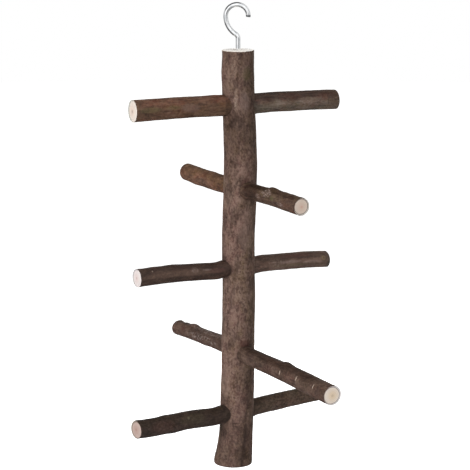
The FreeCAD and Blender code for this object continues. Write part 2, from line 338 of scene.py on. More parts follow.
class Effects:
    """The node groups that several materials share, each built once."""

    def __init__(self) -> None:
        """Starts with no group."""
        self.made: dict[str, bpy.types.NodeTree] = {}

    def start(
        self, name: str, inputs: dict[str, str], outputs: dict[str, str]
    ) -> tuple[Weaver, dict, bpy.types.Node]:
        """Makes an empty node group with its sockets.

        Args:
            name: The group's name.
            inputs: Socket types by the names of the inputs.
            outputs: Socket types by the names of the outputs.

        Returns:
            The group's weaver, its input sockets by name, and its output node.
        """
        tree = bpy.data.node_groups.new(name, "ShaderNodeTree")
        for in_out, sockets in (("INPUT", inputs), ("OUTPUT", outputs)):
            for socket, kind in sockets.items():
                tree.interface.new_socket(socket, in_out=in_out, socket_type=kind)
        weaver = Weaver(tree)
        given = weaver.add("NodeGroupInput")
        result = weaver.add("NodeGroupOutput")
        self.made[name] = tree
        return weaver, {socket: given.outputs[socket] for socket in inputs}, result

    def place(self, weaver: Weaver, name: str, inputs: dict) -> bpy.types.Node:
        """Puts a group into a material.

        Args:
            weaver: The material's weaver.
            name: The group's name, which is also the name of the method that builds it.
            inputs: Values or output sockets by the names of the group's inputs.

        Returns:
            The group node.
        """
        if name not in self.made:
            getattr(self, name)()
        node = weaver.add("ShaderNodeGroup", node_tree=self.made[name])
        for socket, value in inputs.items():
            weaver.put(node.inputs[socket], value)
        return node

    def mottle(self) -> None:
        """Builds the soft patches that follow the grain."""
        weaver, given, result = self.start(
            "mottle",
            {"Grain": "NodeSocketVector", "Seed": "NodeSocketFloat"},
            {name: "NodeSocketFloat" for name in ("Broad", "Middle", "Fine", "Streak")},
        )
        place = weaver.shifted(given["Grain"], given["Seed"])
        for name, size, stretch, detail, low, high in (
            ("Broad", 15 * MM, 0.5, 3.0, 0.38, 0.62),
            ("Middle", 6 * MM, 0.65, 3.0, 0.34, 0.66),
            ("Fine", 2.0 * MM, 0.8, 2.0, 0.28, 0.72),
            ("Streak", 1.8 * MM, 0.13, 3.0, 0.28, 0.72),
        ):
            drawn = weaver.scaled(place, (1.0, 1.0, stretch))
            weaver.put(result.inputs[name], weaver.rise(weaver.noise(drawn, size, detail, 0.6), low, high))

    def cracks(self) -> None:
        """Builds short thin cracks between small plates of bark."""
        weaver, given, result = self.start(
            "cracks",
            {"Grain": "NodeSocketVector", "Seed": "NodeSocketFloat"},
            {"Mask": "NodeSocketFloat"},
        )
        place = weaver.shifted(given["Grain"], given["Seed"])
        drawn = weaver.scaled(weaver.wobbled(place, 2.5 * MM, 2.2 * MM), (1.0, 1.0, 0.5))
        cells = weaver.add(
            "ShaderNodeTexVoronoi", {"Vector": drawn, "Scale": 1 / (3.4 * MM)}, feature="DISTANCE_TO_EDGE"
        )
        line = weaver.math("SUBTRACT", 1.0, weaver.rise(cells.outputs["Distance"], 0.02, 0.11))
        chosen = weaver.rise(weaver.noise(drawn, 6 * MM, 2.0), 0.42, 0.6)
        weaver.put(result.inputs["Mask"], weaver.math("MULTIPLY", line, chosen))

    def flecks(self) -> None:
        """Builds the small dark pits and the small pale pores."""
        weaver, given, result = self.start(
            "flecks",
            {"Grain": "NodeSocketVector", "Seed": "NodeSocketFloat"},
            {"Dark": "NodeSocketFloat", "Pale": "NodeSocketFloat"},
        )
        place = weaver.wobbled(weaver.shifted(given["Grain"], given["Seed"]), 1.5 * MM, 1.2 * MM)
        for name, size, stretch, low, high in (
            ("Dark", 5.5 * MM, (1.0, 1.0, 0.7), 0.10, 0.24),
            ("Pale", 4.6 * MM, (0.7, 0.7, 1.25), 0.09, 0.20),
        ):
            spread = weaver.scaled(place, stretch)
            cells = weaver.add("ShaderNodeTexVoronoi", {"Vector": spread, "Scale": 1 / size})
            mask = weaver.math("SUBTRACT", 1.0, weaver.rise(cells.outputs["Distance"], low, high))
            chosen = weaver.rise(weaver.noise(spread, 9 * MM, 1.0), 0.5, 0.6)
            weaver.put(result.inputs[name], weaver.math("MULTIPLY", mask, chosen))

    def oval(self) -> None:
        """Builds an oval spot on the bark."""
        weaver, given, result = self.start(
            "oval",
            {name: "NodeSocketVector" for name in ("Grain", "Centre", "Round", "Along")},
            {"Mask": "NodeSocketFloat"},
        )
        place = weaver.wobbled(given["Grain"], 1.0 * MM, 0.5 * MM)
        away = weaver.vector("SUBTRACT", place, given["Centre"]).outputs[0]
        inputs = {0: weaver.dot(away, given["Round"]), 1: weaver.dot(away, given["Along"])}
        pair = weaver.add("ShaderNodeCombineXYZ", inputs).outputs[0]
        reach = weaver.add("ShaderNodeVectorMath", {0: pair}, operation="LENGTH").outputs["Value"]
        out = weaver.vector("CROSS_PRODUCT", given["Round"], given["Along"]).outputs[0]
        same_side = weaver.math("GREATER_THAN", weaver.dot(given["Grain"], out), 0.0)
        spot = weaver.math("SUBTRACT", 1.0, weaver.rise(reach, 0.55, 1.15))
        weaver.put(result.inputs["Mask"], weaver.math("MULTIPLY", spot, same_side))

    def rings(self) -> None:
        """Builds the growth rings, the rays and the saw marks of a sawn end."""
        weaver, given, result = self.start(
            "rings",
            {"Grain": "NodeSocketVector", "Share": "NodeSocketFloat"},
            {name: "NodeSocketFloat" for name in ("Rings", "Rays", "Saw")},
        )
        flat = weaver.scaled(given["Grain"], (1.0, 1.0, 0.0))
        bend = weaver.noise(flat, 5 * MM, 2.0)
        share = weaver.math("ADD", given["Share"], weaver.math("MULTIPLY", bend, 0.16))
        wave = weaver.math("SINE", weaver.math("MULTIPLY", share, TURN * 6.5))
        weaver.put(result.inputs["Rings"], weaver.rise(wave, 0.1, 1.0))
        spokes = weaver.vector("NORMALIZE", flat, (0.0, 0.0, 0.0)).outputs[0]
        rays = weaver.noise(spokes, 0.045, 2.0, 0.6)
        weaver.put(result.inputs["Rays"], weaver.rise(rays, 0.5, 0.75))
        sawn = weaver.scaled(flat, (0.06, 1.0, 1.0))
        weaver.put(result.inputs["Saw"], weaver.noise(sawn, 0.8 * MM, 2.0, 0.5))


effects = Effects()


def new_material(name: str) -> tuple[bpy.types.Material, Weaver, bpy.types.Node]:
    """An empty material with its shader.

    Args:
        name: The material's name.

    Returns:
        The material, its weaver and its Principled shader.
    """
    material = bpy.data.materials.new(name)
    material.use_nodes = True
    material.node_tree.nodes.clear()
    weaver = Weaver(material.node_tree)
    shader = weaver.add("ShaderNodeBsdfPrincipled")
    output = weaver.add("ShaderNodeOutputMaterial")
    weaver.put(output.inputs["Surface"], shader.outputs[0])
    return material, weaver, shader


def bark_material(
    name: str, finish: BarkFinish, marks: tuple[Mark, ...], radius: float
) -> bpy.types.Material:
    """The bark of one branch, with its marks.

    Args:
        name: The material's name.
        finish: The bark's colours and amounts.
        marks: The marks on this branch.
        radius: The branch's mean radius, in metres.

    Returns:
        The material.
    """
    material, weaver, shader = new_material(name)
    grain = weaver.add("ShaderNodeAttribute", attribute_name="grain").outputs["Vector"]
    relief = weaver.add("ShaderNodeAttribute", attribute_name="relief").outputs["Fac"]
    shade_and_fray = weaver.add("ShaderNodeAttribute", attribute_name="shade_and_fray").outputs["Fac"]
    first = effects.place(weaver, "mottle", {"Grain": grain, "Seed": finish.seed}).outputs
    second = effects.place(weaver, "mottle", {"Grain": grain, "Seed": finish.seed + SECOND_SEED}).outputs
    flecks = effects.place(weaver, "flecks", {"Grain": grain, "Seed": finish.seed}).outputs
    cracks = effects.place(weaver, "cracks", {"Grain": grain, "Seed": finish.seed}).outputs["Mask"]

    def part(value: object, amount: float) -> bpy.types.NodeSocket:
        """A share of a mask."""
        return weaver.math("MULTIPLY", value, amount)

    angle = math.radians(finish.moss_side)
    side = (math.cos(angle) / radius, math.sin(angle) / radius, 0.0)
    moss = weaver.rise(weaver.dot(grain, side), -0.3, 0.9)
    moss = part(weaver.math("ADD", moss, first["Broad"]), 0.5)
    moss = weaver.rise(weaver.math("ADD", part(moss, 0.7), part(second["Middle"], 0.3)), 0.25, 0.75)

    colour = finish.ground
    for mask, amount, coat in (
        (second["Broad"], finish.blush_amount, finish.blush),
        (moss, finish.moss_amount, finish.moss),
        (first["Middle"], 0.5, finish.bloom),
        (weaver.rise(second["Middle"], 0.6, 0.05), finish.blotch, finish.crevice),
        (weaver.rise(second["Fine"], 0.5, 1.0), finish.speckle, finish.bloom),
        (weaver.rise(second["Fine"], 0.5, 0.0), finish.speckle, finish.crevice),
        (first["Streak"], finish.streak, finish.crevice),
        (weaver.rise(relief, 0.45, 0.05), 0.5, finish.crevice),
        (weaver.rise(relief, 0.55, 0.95), 0.35, finish.bloom),
        (flecks["Dark"], 0.35, finish.crevice),
        (flecks["Pale"], 0.35, finish.bloom),
        (cracks, finish.crack, finish.crevice),
    ):
        colour = weaver.mix(part(mask, amount), colour, coat)
    # painted light: the colours beyond the upright branch are brightened, lighting up the far half of the
    # perch
    beyond = weaver.add("ShaderNodeSeparateXYZ", {0: grain}).outputs["Z"]
    beyond = weaver.rise(beyond, FAR_BLEND, -FAR_BLEND)
    colour = weaver.mix(beyond, colour, finish.far_painted_light, "MULTIPLY")

    height = part(second["Fine"], 0.7)
    for mask, amount in (
        (first["Streak"], -0.3),
        (first["Middle"], 0.5),
        (flecks["Dark"], -0.7),
        (flecks["Pale"], 0.4),
        (cracks, -2.0 * finish.crack),
    ):
        height = weaver.math("ADD", height, part(mask, amount))
    specks = weaver.rise(first["Fine"], 0.45, 0.95)
    for mark in marks:
        turn = math.radians(mark.angle)
        centre = (radius * math.cos(turn), radius * math.sin(turn), mark.along * MM)
        reach = 1 / (mark.round_half * MM)
        inputs = {
            "Grain": grain,
            "Centre": centre,
            "Round": (-math.sin(turn) * reach, math.cos(turn) * reach, 0.0),
            "Along": (0.0, 0.0, 1 / (mark.along_half * MM)),
        }
        mask = effects.place(weaver, "oval", inputs).outputs["Mask"]
        if mark.broken:
            kept = weaver.math("ADD", part(specks, mark.broken), 1 - mark.broken)
            mask = weaver.math("MULTIPLY", mask, kept)
        blend = "MULTIPLY" if mark.stain else "MIX"
        colour = weaver.mix(part(mask, mark.strength), colour, mark.colour, blend)
        if mark.height:
            height = weaver.math("ADD", height, part(mask, math.copysign(MARK_BUMP, mark.height)))
    # painted shade in the gaps beside crossing branches, with the dark edge by a sawn end, broken up by
    # noise
    shade_and_fray = weaver.math("MULTIPLY", shade_and_fray, weaver.math("ADD", 0.4, second["Middle"]))
    colour = weaver.mix(part(shade_and_fray, finish.gap_shade), colour, finish.crevice)

    rough = weaver.math("ADD", 0.75 - 0.4 * finish.sheen, part(first["Streak"], 0.2))
    weaver.put(shader.inputs["Base Color"], colour)
    weaver.put(shader.inputs["Roughness"], rough)
    shader.inputs["Specular IOR Level"].default_value = 0.1 + 0.2 * finish.sheen
    bump = weaver.add("ShaderNodeBump", {"Height": height, "Strength": 0.6, "Distance": 0.4 * MM})
    weaver.put(shader.inputs["Normal"], bump.outputs[0])
    return material


def cut_material(name: str, finish: CutFinish, radius: float) -> bpy.types.Material:
    """A sawn end: bark, inner bark, growth rings, rays and pith.

    Args:
        name: The material's name.
        finish: The colours of the sawn end.
        radius: The branch's mean radius, in metres.

    Returns:
        The material.
    """
    material, weaver, shader = new_material(name)
    grain = weaver.add("ShaderNodeAttribute", attribute_name="grain").outputs["Vector"]
    share = weaver.add("ShaderNodeAttribute", attribute_name="share").outputs["Fac"]
    pattern = effects.place(weaver, "rings", {"Grain": grain, "Share": share})
    uneven = weaver.noise(grain, 2.5 * MM, 2.0)
    edge = weaver.math("ADD", share, weaver.math("MULTIPLY", weaver.math("SUBTRACT", uneven, 0.5), 0.08))
    angle = math.radians(finish.lean_side)
    side = (finish.lean * math.cos(angle) / radius, finish.lean * math.sin(angle) / radius, 0.0)
    edge = weaver.math("ADD", edge, weaver.dot(grain, side))
    inner = 1 - finish.bark_share
    colour = finish.sapwood
    for mask, coat in (
        (weaver.rise(share, 0.75, 0.2), finish.heart),
        (weaver.math("MULTIPLY", pattern.outputs["Rings"], 0.5), finish.ring),
        (weaver.math("MULTIPLY", pattern.outputs["Rays"], 0.25), finish.ring),
        (weaver.math("MULTIPLY", weaver.rise(share, 0.24, 0.04), 0.6), finish.pith),
        (weaver.rise(edge, inner - 0.03, inner), finish.bast),
        (weaver.rise(edge, inner + 0.05, inner + 0.08), finish.bark),
    ):
        colour = weaver.mix(mask, colour, coat)

    height = weaver.math("ADD", pattern.outputs["Rings"], pattern.outputs["Saw"])
    weaver.put(shader.inputs["Base Color"], colour)
    weaver.put(shader.inputs["Roughness"], weaver.math("ADD", 0.62, weaver.math("MULTIPLY", uneven, 0.2)))
    shader.inputs["Specular IOR Level"].default_value = 0.3
    bump = weaver.add("ShaderNodeBump", {"Height": height, "Strength": 0.35, "Distance": 0.15 * MM})
    weaver.put(shader.inputs["Normal"], bump.outputs[0])
    return material


@dataclass(frozen=True)
class ZincFinish:
    """Bright zinc on drawn steel wire.

    Attributes:
        metal: Colour of the metal.
        dull: Colour of its duller patches.
        roughness: Least roughness of the surface.
        bare_steel_and_shade: Colour of the cut end of the wire: bare steel, darkened as painted shade at
            the tip.
    """

    metal: Colour = srgb(246, 247, 248)
    dull: Colour = srgb(222, 225, 228)
    roughness: float = 0.05
    bare_steel_and_shade: Colour = srgb(126, 127, 129)

    def material(self, tip: Vector) -> bpy.types.Material:
        """The material of the hook.

        Args:
            tip: The middle of the cut end of the wire.

        Returns:
            The material.
        """
        material, weaver, shader = new_material("bright_zinc")
        place = weaver.add("ShaderNodeTexCoord").outputs["Object"]
        cloud = weaver.rise(weaver.noise(place, 3 * MM, 3.0), 0.42, 0.68)
        reach = weaver.vector("DISTANCE", place, tuple(tip)).outputs["Value"]
        # the cut end of the wire: bare steel, and painted shade that darkens the tip
        cut = weaver.rise(reach, 3.6 * MM, 2.8 * MM)
        colour = weaver.mix(cut, weaver.mix(cloud, self.metal, self.dull), self.bare_steel_and_shade)
        weaver.put(shader.inputs["Base Color"], colour)
        rough = weaver.math("ADD", self.roughness, weaver.math("MULTIPLY", cloud, 0.08))
        rough = weaver.math("ADD", rough, weaver.math("MULTIPLY", cut, 0.3))
        weaver.put(shader.inputs["Roughness"], rough)
        shader.inputs["Metallic"].default_value = 1.0
        return material


class Surface:
    """The outer surface of one packed branch, as a centre line and a table of radii."""

    PITCH = 1.5 * MM           # between two measured sections
    END_GAP = 0.02 * MM        # from the sawn ends to the first and last section
    END_ZONE = 4.0 * MM        # where the edges may be rounded
    BARK_FACING = 0.6          # a hit whose face is more oblique is inside a cross hole
    EDGE_FACING = 0.02         # the same, near the ends
    REACH = 40 * MM            # how far outside the rays start
    FLAT_FACING = 0.985        # a face that turns further from the rough direction isn't the end's
    SAME_FACING = 0.99999      # faces this alike are one flat
    SEAT_HALF = 25 * MM        # half the length round the upright branch, where measuring starts
    END_SECTIONS = 12          # in each end zone
    FIT_RAYS = 24
    COLUMNS = 72

    def __init__(self, node: str, facing: Facing) -> None:
        """Measures a packed branch.

        Args:
            node: The branch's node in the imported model.
            facing: Where its near end points, roughly.
        """
        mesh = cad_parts[node].data
        corners = [vertex.co.copy() for vertex in mesh.vertices]
        self.tree = BVHTree.FromPolygons(corners, [face.vertices[:] for face in mesh.polygons])
        self.axis = self.end_direction(mesh, Vector(facing.value))
        self.first = UP.copy() if facing is not Facing.DOWN else Vector((1.0, 0.0, 0.0))
        self.second = self.axis.cross(self.first)
        places = [corner.dot(self.axis) for corner in corners]
        self.low = min(places)
        self.high = max(places)
        self.measure(corners, places)

    @staticmethod
    def end_direction(mesh: bpy.types.Mesh, rough: Vector) -> Vector:
        """The direction that the near sawn end faces.

        Args:
            mesh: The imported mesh.
            rough: About where the near end points.

        Returns:
            The direction of the flat of that end.
        """
        faces = [face for face in mesh.polygons if face.normal.dot(rough) > Surface.FLAT_FACING]
        largest = max(faces, key=lambda face: face.area).normal
        total = Vector((0.0, 0.0, 0.0))
        for face in faces:
            if face.normal.dot(largest) > Surface.SAME_FACING:
                total += face.normal * face.area
        return total.normalized()

    def cast(self, centre: Vector, count: int, facing: float) -> np.ndarray:
        """Radii of the bark round a centre, cast from outside inwards.

        Args:
            centre: A point inside the branch.
            count: How many rays, evenly round the axis.
            facing: How squarely a face has to face outwards.

        Returns:
            A radius for each ray, or not a number where the ray enters a cross hole.
        """
        found = np.full(count, np.nan)
        for number in range(count):
            angle = TURN * number / count
            out = self.first * math.cos(angle) + self.second * math.sin(angle)
            place, normal, _, _ = self.tree.ray_cast(centre + out * self.REACH, -out, self.REACH)
            if place is not None and normal.dot(out) > facing:
                found[number] = (place - centre).dot(out)
        return found

    def fitted(self, centre: Vector, facing: float) -> Vector:
        """The centre of the circle that fits the bark best round a guessed centre.

        Args:
            centre: The guessed centre.
            facing: How squarely a face has to face outwards.

        Returns:
            The centre of the circle.
        """
        radii = self.cast(centre, self.FIT_RAYS, facing)
        angles = TURN * np.arange(self.FIT_RAYS) / self.FIT_RAYS
        valid = ~np.isnan(radii)
        across = radii[valid] * np.cos(angles[valid])
        upward = radii[valid] * np.sin(angles[valid])
        rows = np.column_stack((2 * across, 2 * upward, np.ones(len(across))))
        solution = np.linalg.lstsq(rows, across**2 + upward**2, rcond=None)[0]
        return centre + self.first * float(solution[0]) + self.second * float(solution[1])

    def measure(self, corners: list[Vector], places: list[float]) -> None:
        """Fills the centre line and the table of radii.

        Args:
            corners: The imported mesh's corners.
            places: Each corner's place along the axis.
        """
        near_seat = [corner for corner, place in zip(corners, places) if abs(place) < self.SEAT_HALF]
        seat = sum(near_seat or corners, Vector()) / len(near_seat or corners)
        count = max(2, math.ceil((self.high - self.low - 2 * self.END_ZONE) / self.PITCH))
        inner = np.linspace(self.low + self.END_ZONE, self.high - self.END_ZONE, count + 1)
        steps = np.linspace(self.END_GAP, self.END_ZONE, self.END_SECTIONS)[:-1]
        inner = np.concatenate((self.low + steps, inner, self.high - steps[::-1]))
        count = len(inner) - 1
        start = int(np.argmin(np.abs(inner - seat.dot(self.axis))))
        middles: dict[int, Vector] = {}
        radii: dict[int, np.ndarray] = {}
        for steps in (range(start, count + 1), range(start - 1, -1, -1)):
            guess = seat if start not in middles else middles[start]
            for number in steps:
                place = float(inner[number])
                at_end = min(place - self.low, self.high - place) < self.END_ZONE
                facing = self.EDGE_FACING if at_end else self.BARK_FACING
                guess = guess + self.axis * (place - guess.dot(self.axis))
                guess = self.fitted(guess, facing)
                middles[number] = guess
                radii[number] = self.filled(self.cast(guess, self.COLUMNS, facing))
        self.stations = inner
        self.middles = np.array([middles[number][:] for number in range(count + 1)])
        self.radii = np.array([radii[number] for number in range(count + 1)])
        self.mean_radius = float(np.median(self.radii))

    @staticmethod
    def filled(radii: np.ndarray) -> np.ndarray:
        """The radii of a section, bridged where a cross hole opens."""
        numbers = np.arange(len(radii))
        valid = ~np.isnan(radii)
        return np.interp(numbers, numbers[valid], radii[valid], period=len(radii))

    def middle(self, along: np.ndarray) -> np.ndarray:
        """Points of the centre line.

        Args:
            along: Places along the axis.

        Returns:
            One row of three coordinates for each place.
        """
        columns = [np.interp(along, self.stations, self.middles[:, part]) for part in range(3)]
        return np.column_stack(columns)

    def radius(self, along: np.ndarray, angle: np.ndarray) -> np.ndarray:
        """Radii of the bark.

        Args:
            along: Places along the axis.
            angle: Angles round the axis, in radians.

        Returns:
            A radius for each place and angle.
        """
        row = np.interp(along, self.stations, np.arange(len(self.stations)))
        row_low = np.minimum(np.floor(row).astype(int), len(self.stations) - 2)
        row_part = row - row_low
        column = (angle % TURN) / TURN * self.COLUMNS
        column_low = np.floor(column).astype(int) % self.COLUMNS
        column_part = column - np.floor(column)
        column_high = (column_low + 1) % self.COLUMNS
        upper = self.radii[row_low, column_low] * (1 - column_part)
        upper += self.radii[row_low, column_high] * column_part
        lower = self.radii[row_low + 1, column_low] * (1 - column_part)
        lower += self.radii[row_low + 1, column_high] * column_part
        return upper * (1 - row_part) + lower * row_part

    def point(self, along: np.ndarray, angle: np.ndarray, reach: np.ndarray) -> np.ndarray:
        """Points round the centre line.

        Args:
            along: Places along the axis.
            angle: Angles round the axis, in radians.
            reach: Distances from the centre line.

        Returns:
            One row of three coordinates for each point.
        """
        middle = self.middle(np.clip(along, self.stations[0], self.stations[-1]))
        middle += np.outer(along - middle @ np.array(self.axis), self.axis)
        out = np.outer(np.cos(angle), self.first) + np.outer(np.sin(angle), self.second)
        return middle + out * reach[:, None]

    def unrolled(self, points: np.ndarray) -> tuple[np.ndarray, np.ndarray, np.ndarray]:
        """Where points lie on the branch.

        Args:
            points: One row of three coordinates for each point.

        Returns:
            Their places along the axis, their angles, and their distances from the centre
            line as shares of the bark's radius.
        """
        along = points @ np.array(self.axis)
        middle = self.middle(np.clip(along, self.stations[0], self.stations[-1]))
        away = points - middle
        first = away @ np.array(self.first)
        second = away @ np.array(self.second)
        angle = np.arctan2(second, first)
        return along, angle, np.hypot(first, second) / self.radius(along, angle)


def straight_tube(sides: int, low: float, high: float, pitch: float, rim: float) -> bmesh.types.BMesh:
    """A closed straight tube of radius 1 along Z, with ringed ends.

    Args:
        sides: Corners round the tube.
        low: Lower end.
        high: Upper end.
        pitch: Greatest distance between two rings of the side.
        rim: Height of the worn edge at each end.

    Returns:
        The tube.
    """
    tube = bmesh.new()
    start = Matrix.Translation((0.0, 0.0, low + rim))
    bmesh.ops.create_circle(tube, cap_ends=False, segments=sides, radius=1.0, matrix=start)
    ring = tube.edges[:] + tube.verts[:]
    close = END_PITCH * pitch
    main_length = high - low - 2 * (rim + END_LENGTH)
    for length, step in ((END_LENGTH, close), (main_length, pitch), (END_LENGTH, close)):
        steps = math.ceil(length / step)
        rise = (0.0, 0.0, length / steps)
        spun = bmesh.ops.spin(
            tube, geom=ring, cent=(0, 0, 0), axis=(0, 0, 1), dvec=rise, angle=0.0, steps=steps
        )
        ring = spun["geom_last"]
    middle = (low + high) / 2
    for side in (-1, 1):
        edges = [e for e in tube.edges if e.is_boundary and (e.verts[0].co.z - middle) * side > 0]
        reached = 1.0
        for share in END_SHARES:
            grown = bmesh.ops.extrude_edge_only(tube, edges=edges)["geom"]
            corners = [item for item in grown if isinstance(item, bmesh.types.BMVert)]
            edges = [e for e in grown if isinstance(e, bmesh.types.BMEdge) and e.is_boundary]
            bmesh.ops.scale(tube, vec=(share / reached, share / reached, 1.0), verts=corners)
            if reached == 1.0:
                bmesh.ops.translate(tube, vec=(0.0, 0.0, rim * side), verts=corners)
            reached = share
        ends = bmesh.ops.holes_fill(tube, edges=edges, sides=0)["faces"]
        bmesh.ops.poke(tube, faces=ends)
    bmesh.ops.recalc_face_normals(tube, faces=tube.faces[:])
    return tube


@dataclass
class Branch:
    """A length of natural branch with its bark on, sawn at both ends.

    Attributes:
        node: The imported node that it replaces.
        name: The name of the piece.
        facing: Where its near end points.
        bark: The finish of its bark.
        near_cut: The finish of its near sawn end.
        far_cut: The finish of its far sawn end.
        marks: The marks on its bark.
        sides: Corners round it.
        pitch: Greatest distance between two rings of corners.
        rim: Height of the worn edge at its sawn ends.
        ridge: Height of the long ridges of its bark.
        lump: Height of the soft lumps of its bark.
        bared: Half the length inside the upright branch, where nothing stands out.
        seed: Shifts its relief.
    """

    LUMP_SIZE = 11 * MM        # of the soft lumps
    RIDGE_SIZE = 2.6 * MM      # of the long ridges, across the branch
    GRIT_SIZE = 1.7 * MM       # of the fine grit
    GAP_SHADE_START = 2.4 * MM      # how far the painted shade of the gap reaches into the bared length
    GAP_SHADE_FADE = 1.3 * MM       # over which it fades
    FRAY_FADE = 0.9 * MM       # over which the dark edge of a sawn end fades
    FRAY_SHARE = 0.8           # how dark that edge is

    node: str
    name: str
    facing: Facing
    bark: BarkFinish
    near_cut: CutFinish
    far_cut: CutFinish
    marks: tuple[Mark, ...] = ()
    sides: int = 72
    pitch: float = 0.9 * MM
    rim: float = 0.35 * MM
    ridge: float = 0.16 * MM
    lump: float = 0.30 * MM
    bared: float = 18.5 * MM
    seed: float = 0.0

    def __post_init__(self) -> None:
        """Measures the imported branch."""
        self.surface = Surface(self.node, self.facing)
        self.heights: np.ndarray | None = None

    def grain(self, along: np.ndarray, angle: np.ndarray, share: np.ndarray) -> np.ndarray:
        """Places on the branch as if it were straight and round."""
        reach = share * self.surface.mean_radius
        return np.column_stack((reach * np.cos(angle), reach * np.sin(angle), along))

    def relief(self, grain: np.ndarray) -> np.ndarray:
        """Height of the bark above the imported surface.

        Args:
            grain: Places on the straightened branch.

        Returns:
            A height in metres for each place.
        """
        shift = Vector((self.seed, self.seed * 0.7, self.seed * 1.3))
        heights = np.empty(len(grain))
        for number, (across, upward, along) in enumerate(grain):
            soft = Vector((across, upward, along * 0.6)) / self.LUMP_SIZE + shift
            long = Vector((across, upward, along * 0.22)) / self.RIDGE_SIZE + shift
            fine = Vector((across, upward, along * 0.7)) / self.GRIT_SIZE - shift
            height = self.lump * (noise.fractal(soft, 0.8, 2.0, 3) * 0.6 - 0.35)
            height -= self.ridge * abs(noise.noise(long)) * 1.6
            height += self.ridge * 0.5 * noise.noise(fine)
            heights[number] = height
        for mark in self.marks:
            turn = math.radians(mark.angle)
            round_it = np.arctan2(grain[:, 1], grain[:, 0]) - turn
            round_it = (round_it + math.pi) % TURN - math.pi
            first = round_it * self.surface.mean_radius / (mark.round_half * MM)
            second = (grain[:, 2] - mark.along * MM) / (mark.along_half * MM)
            heights += mark.height * MM * np.exp(-(first**2) - second**2)
        return heights

    def free(self, along: np.ndarray) -> np.ndarray:
        """How much of the relief stands out at each place: none inside the upright branch."""
        return smooth(self.bared - 2 * MM, self.bared, np.abs(along))

    def shade_and_fray(self, points: np.ndarray, along: np.ndarray) -> np.ndarray:
        """How dark the painted shade beside the upright branch and the edge by a sawn end are."""
        outside = np.maximum(np.abs(along) - (self.bared - self.GAP_SHADE_START), 0.0)
        return np.maximum(np.exp(-outside / self.GAP_SHADE_FADE), self.frayed(along))

    def frayed(self, along: np.ndarray) -> np.ndarray:
        """How dark the bark's edge beside a sawn end is at each place."""
        edge = np.minimum(along - self.surface.low, self.surface.high - along)
        return self.FRAY_SHARE * np.exp(-np.maximum(edge, 0.0) / self.FRAY_FADE)

    def shaped(self) -> bpy.types.Object:
        """Builds the branch's mesh.

        Returns:
            The new object, with its place in its mesh.
        """
        tube = straight_tube(self.sides, self.surface.low, self.surface.high, self.pitch, self.rim)
        mesh = settled(self.name, tube)
        corners = corners_of(mesh)
        along = corners[:, 2]
        angle = np.arctan2(corners[:, 1], corners[:, 0])
        share = np.hypot(corners[:, 0], corners[:, 1])
        self.heights = self.relief(self.grain(along, angle, share))
        reach = share * self.surface.radius(along, angle)
        reach += self.heights * self.free(along) * smooth(0.8, 1.0, share)
        placed = self.surface.point(along, angle, reach)
        mesh.vertices.foreach_set("co", placed.ravel())
        mesh.update()
        return added(self.name, mesh)

    def described(self, mesh: bpy.types.Mesh) -> None:
        """Writes the attributes that the materials read.

        Args:
            mesh: The finished mesh.
        """
        corners = corners_of(mesh)
        along, angle, share = self.surface.unrolled(corners)
        grain = self.grain(along, angle, share)
        heights = self.relief(grain) if self.heights is None else self.heights
        values = {
            "share": share,
            "relief": np.clip(0.75 + heights / RELIEF_RANGE, 0.0, 1.0),
            "shade_and_fray": self.shade_and_fray(corners, along),
        }
        for name, numbers in values.items():
            attribute = mesh.attributes.new(name, "FLOAT", "POINT")
            attribute.data.foreach_set("value", numbers.astype(np.float32))
        attribute = mesh.attributes.new("grain", "FLOAT_VECTOR", "POINT")
        attribute.data.foreach_set("vector", grain.astype(np.float32).ravel())

    def dressed(self, mesh: bpy.types.Mesh) -> None:
        """Gives the mesh its materials: bark, near end and far end.

        Args:
            mesh: The finished mesh.
        """
        radius = self.surface.mean_radius
        mesh.materials.append(bark_material(f"{self.name}_bark", self.bark, self.marks, radius))
        mesh.materials.append(cut_material(f"{self.name}_near_end", self.near_cut, radius))
        mesh.materials.append(cut_material(f"{self.name}_far_end", self.far_cut, radius))
        axis = self.surface.axis
        edge = 0.5 * self.rim
        for face in mesh.polygons:
            place = face.center.dot(axis)
            if place > self.surface.high - edge:
                face.material_index = 1
            elif place < self.surface.low + edge:
                face.material_index = 2

    def finished(self, piece: bpy.types.Object) -> None:
        """Adds what a branch needs before it is dressed. A perch needs nothing."""

    def build(self) -> bpy.types.Object:
        """Builds, dresses and places the branch.

        Returns:
            The finished piece.
        """
        piece = self.shaped()
        self.finished(piece)
        mesh = piece.data
        self.described(mesh)
        self.dressed(mesh)
        mesh.shade_smooth()
        mesh.set_sharp_from_angle(angle=BRANCH_CREASE)
        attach(piece, "root")
        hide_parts(self.node)
        log.info("%s: %d faces", self.name, len(mesh.polygons))
        return piece


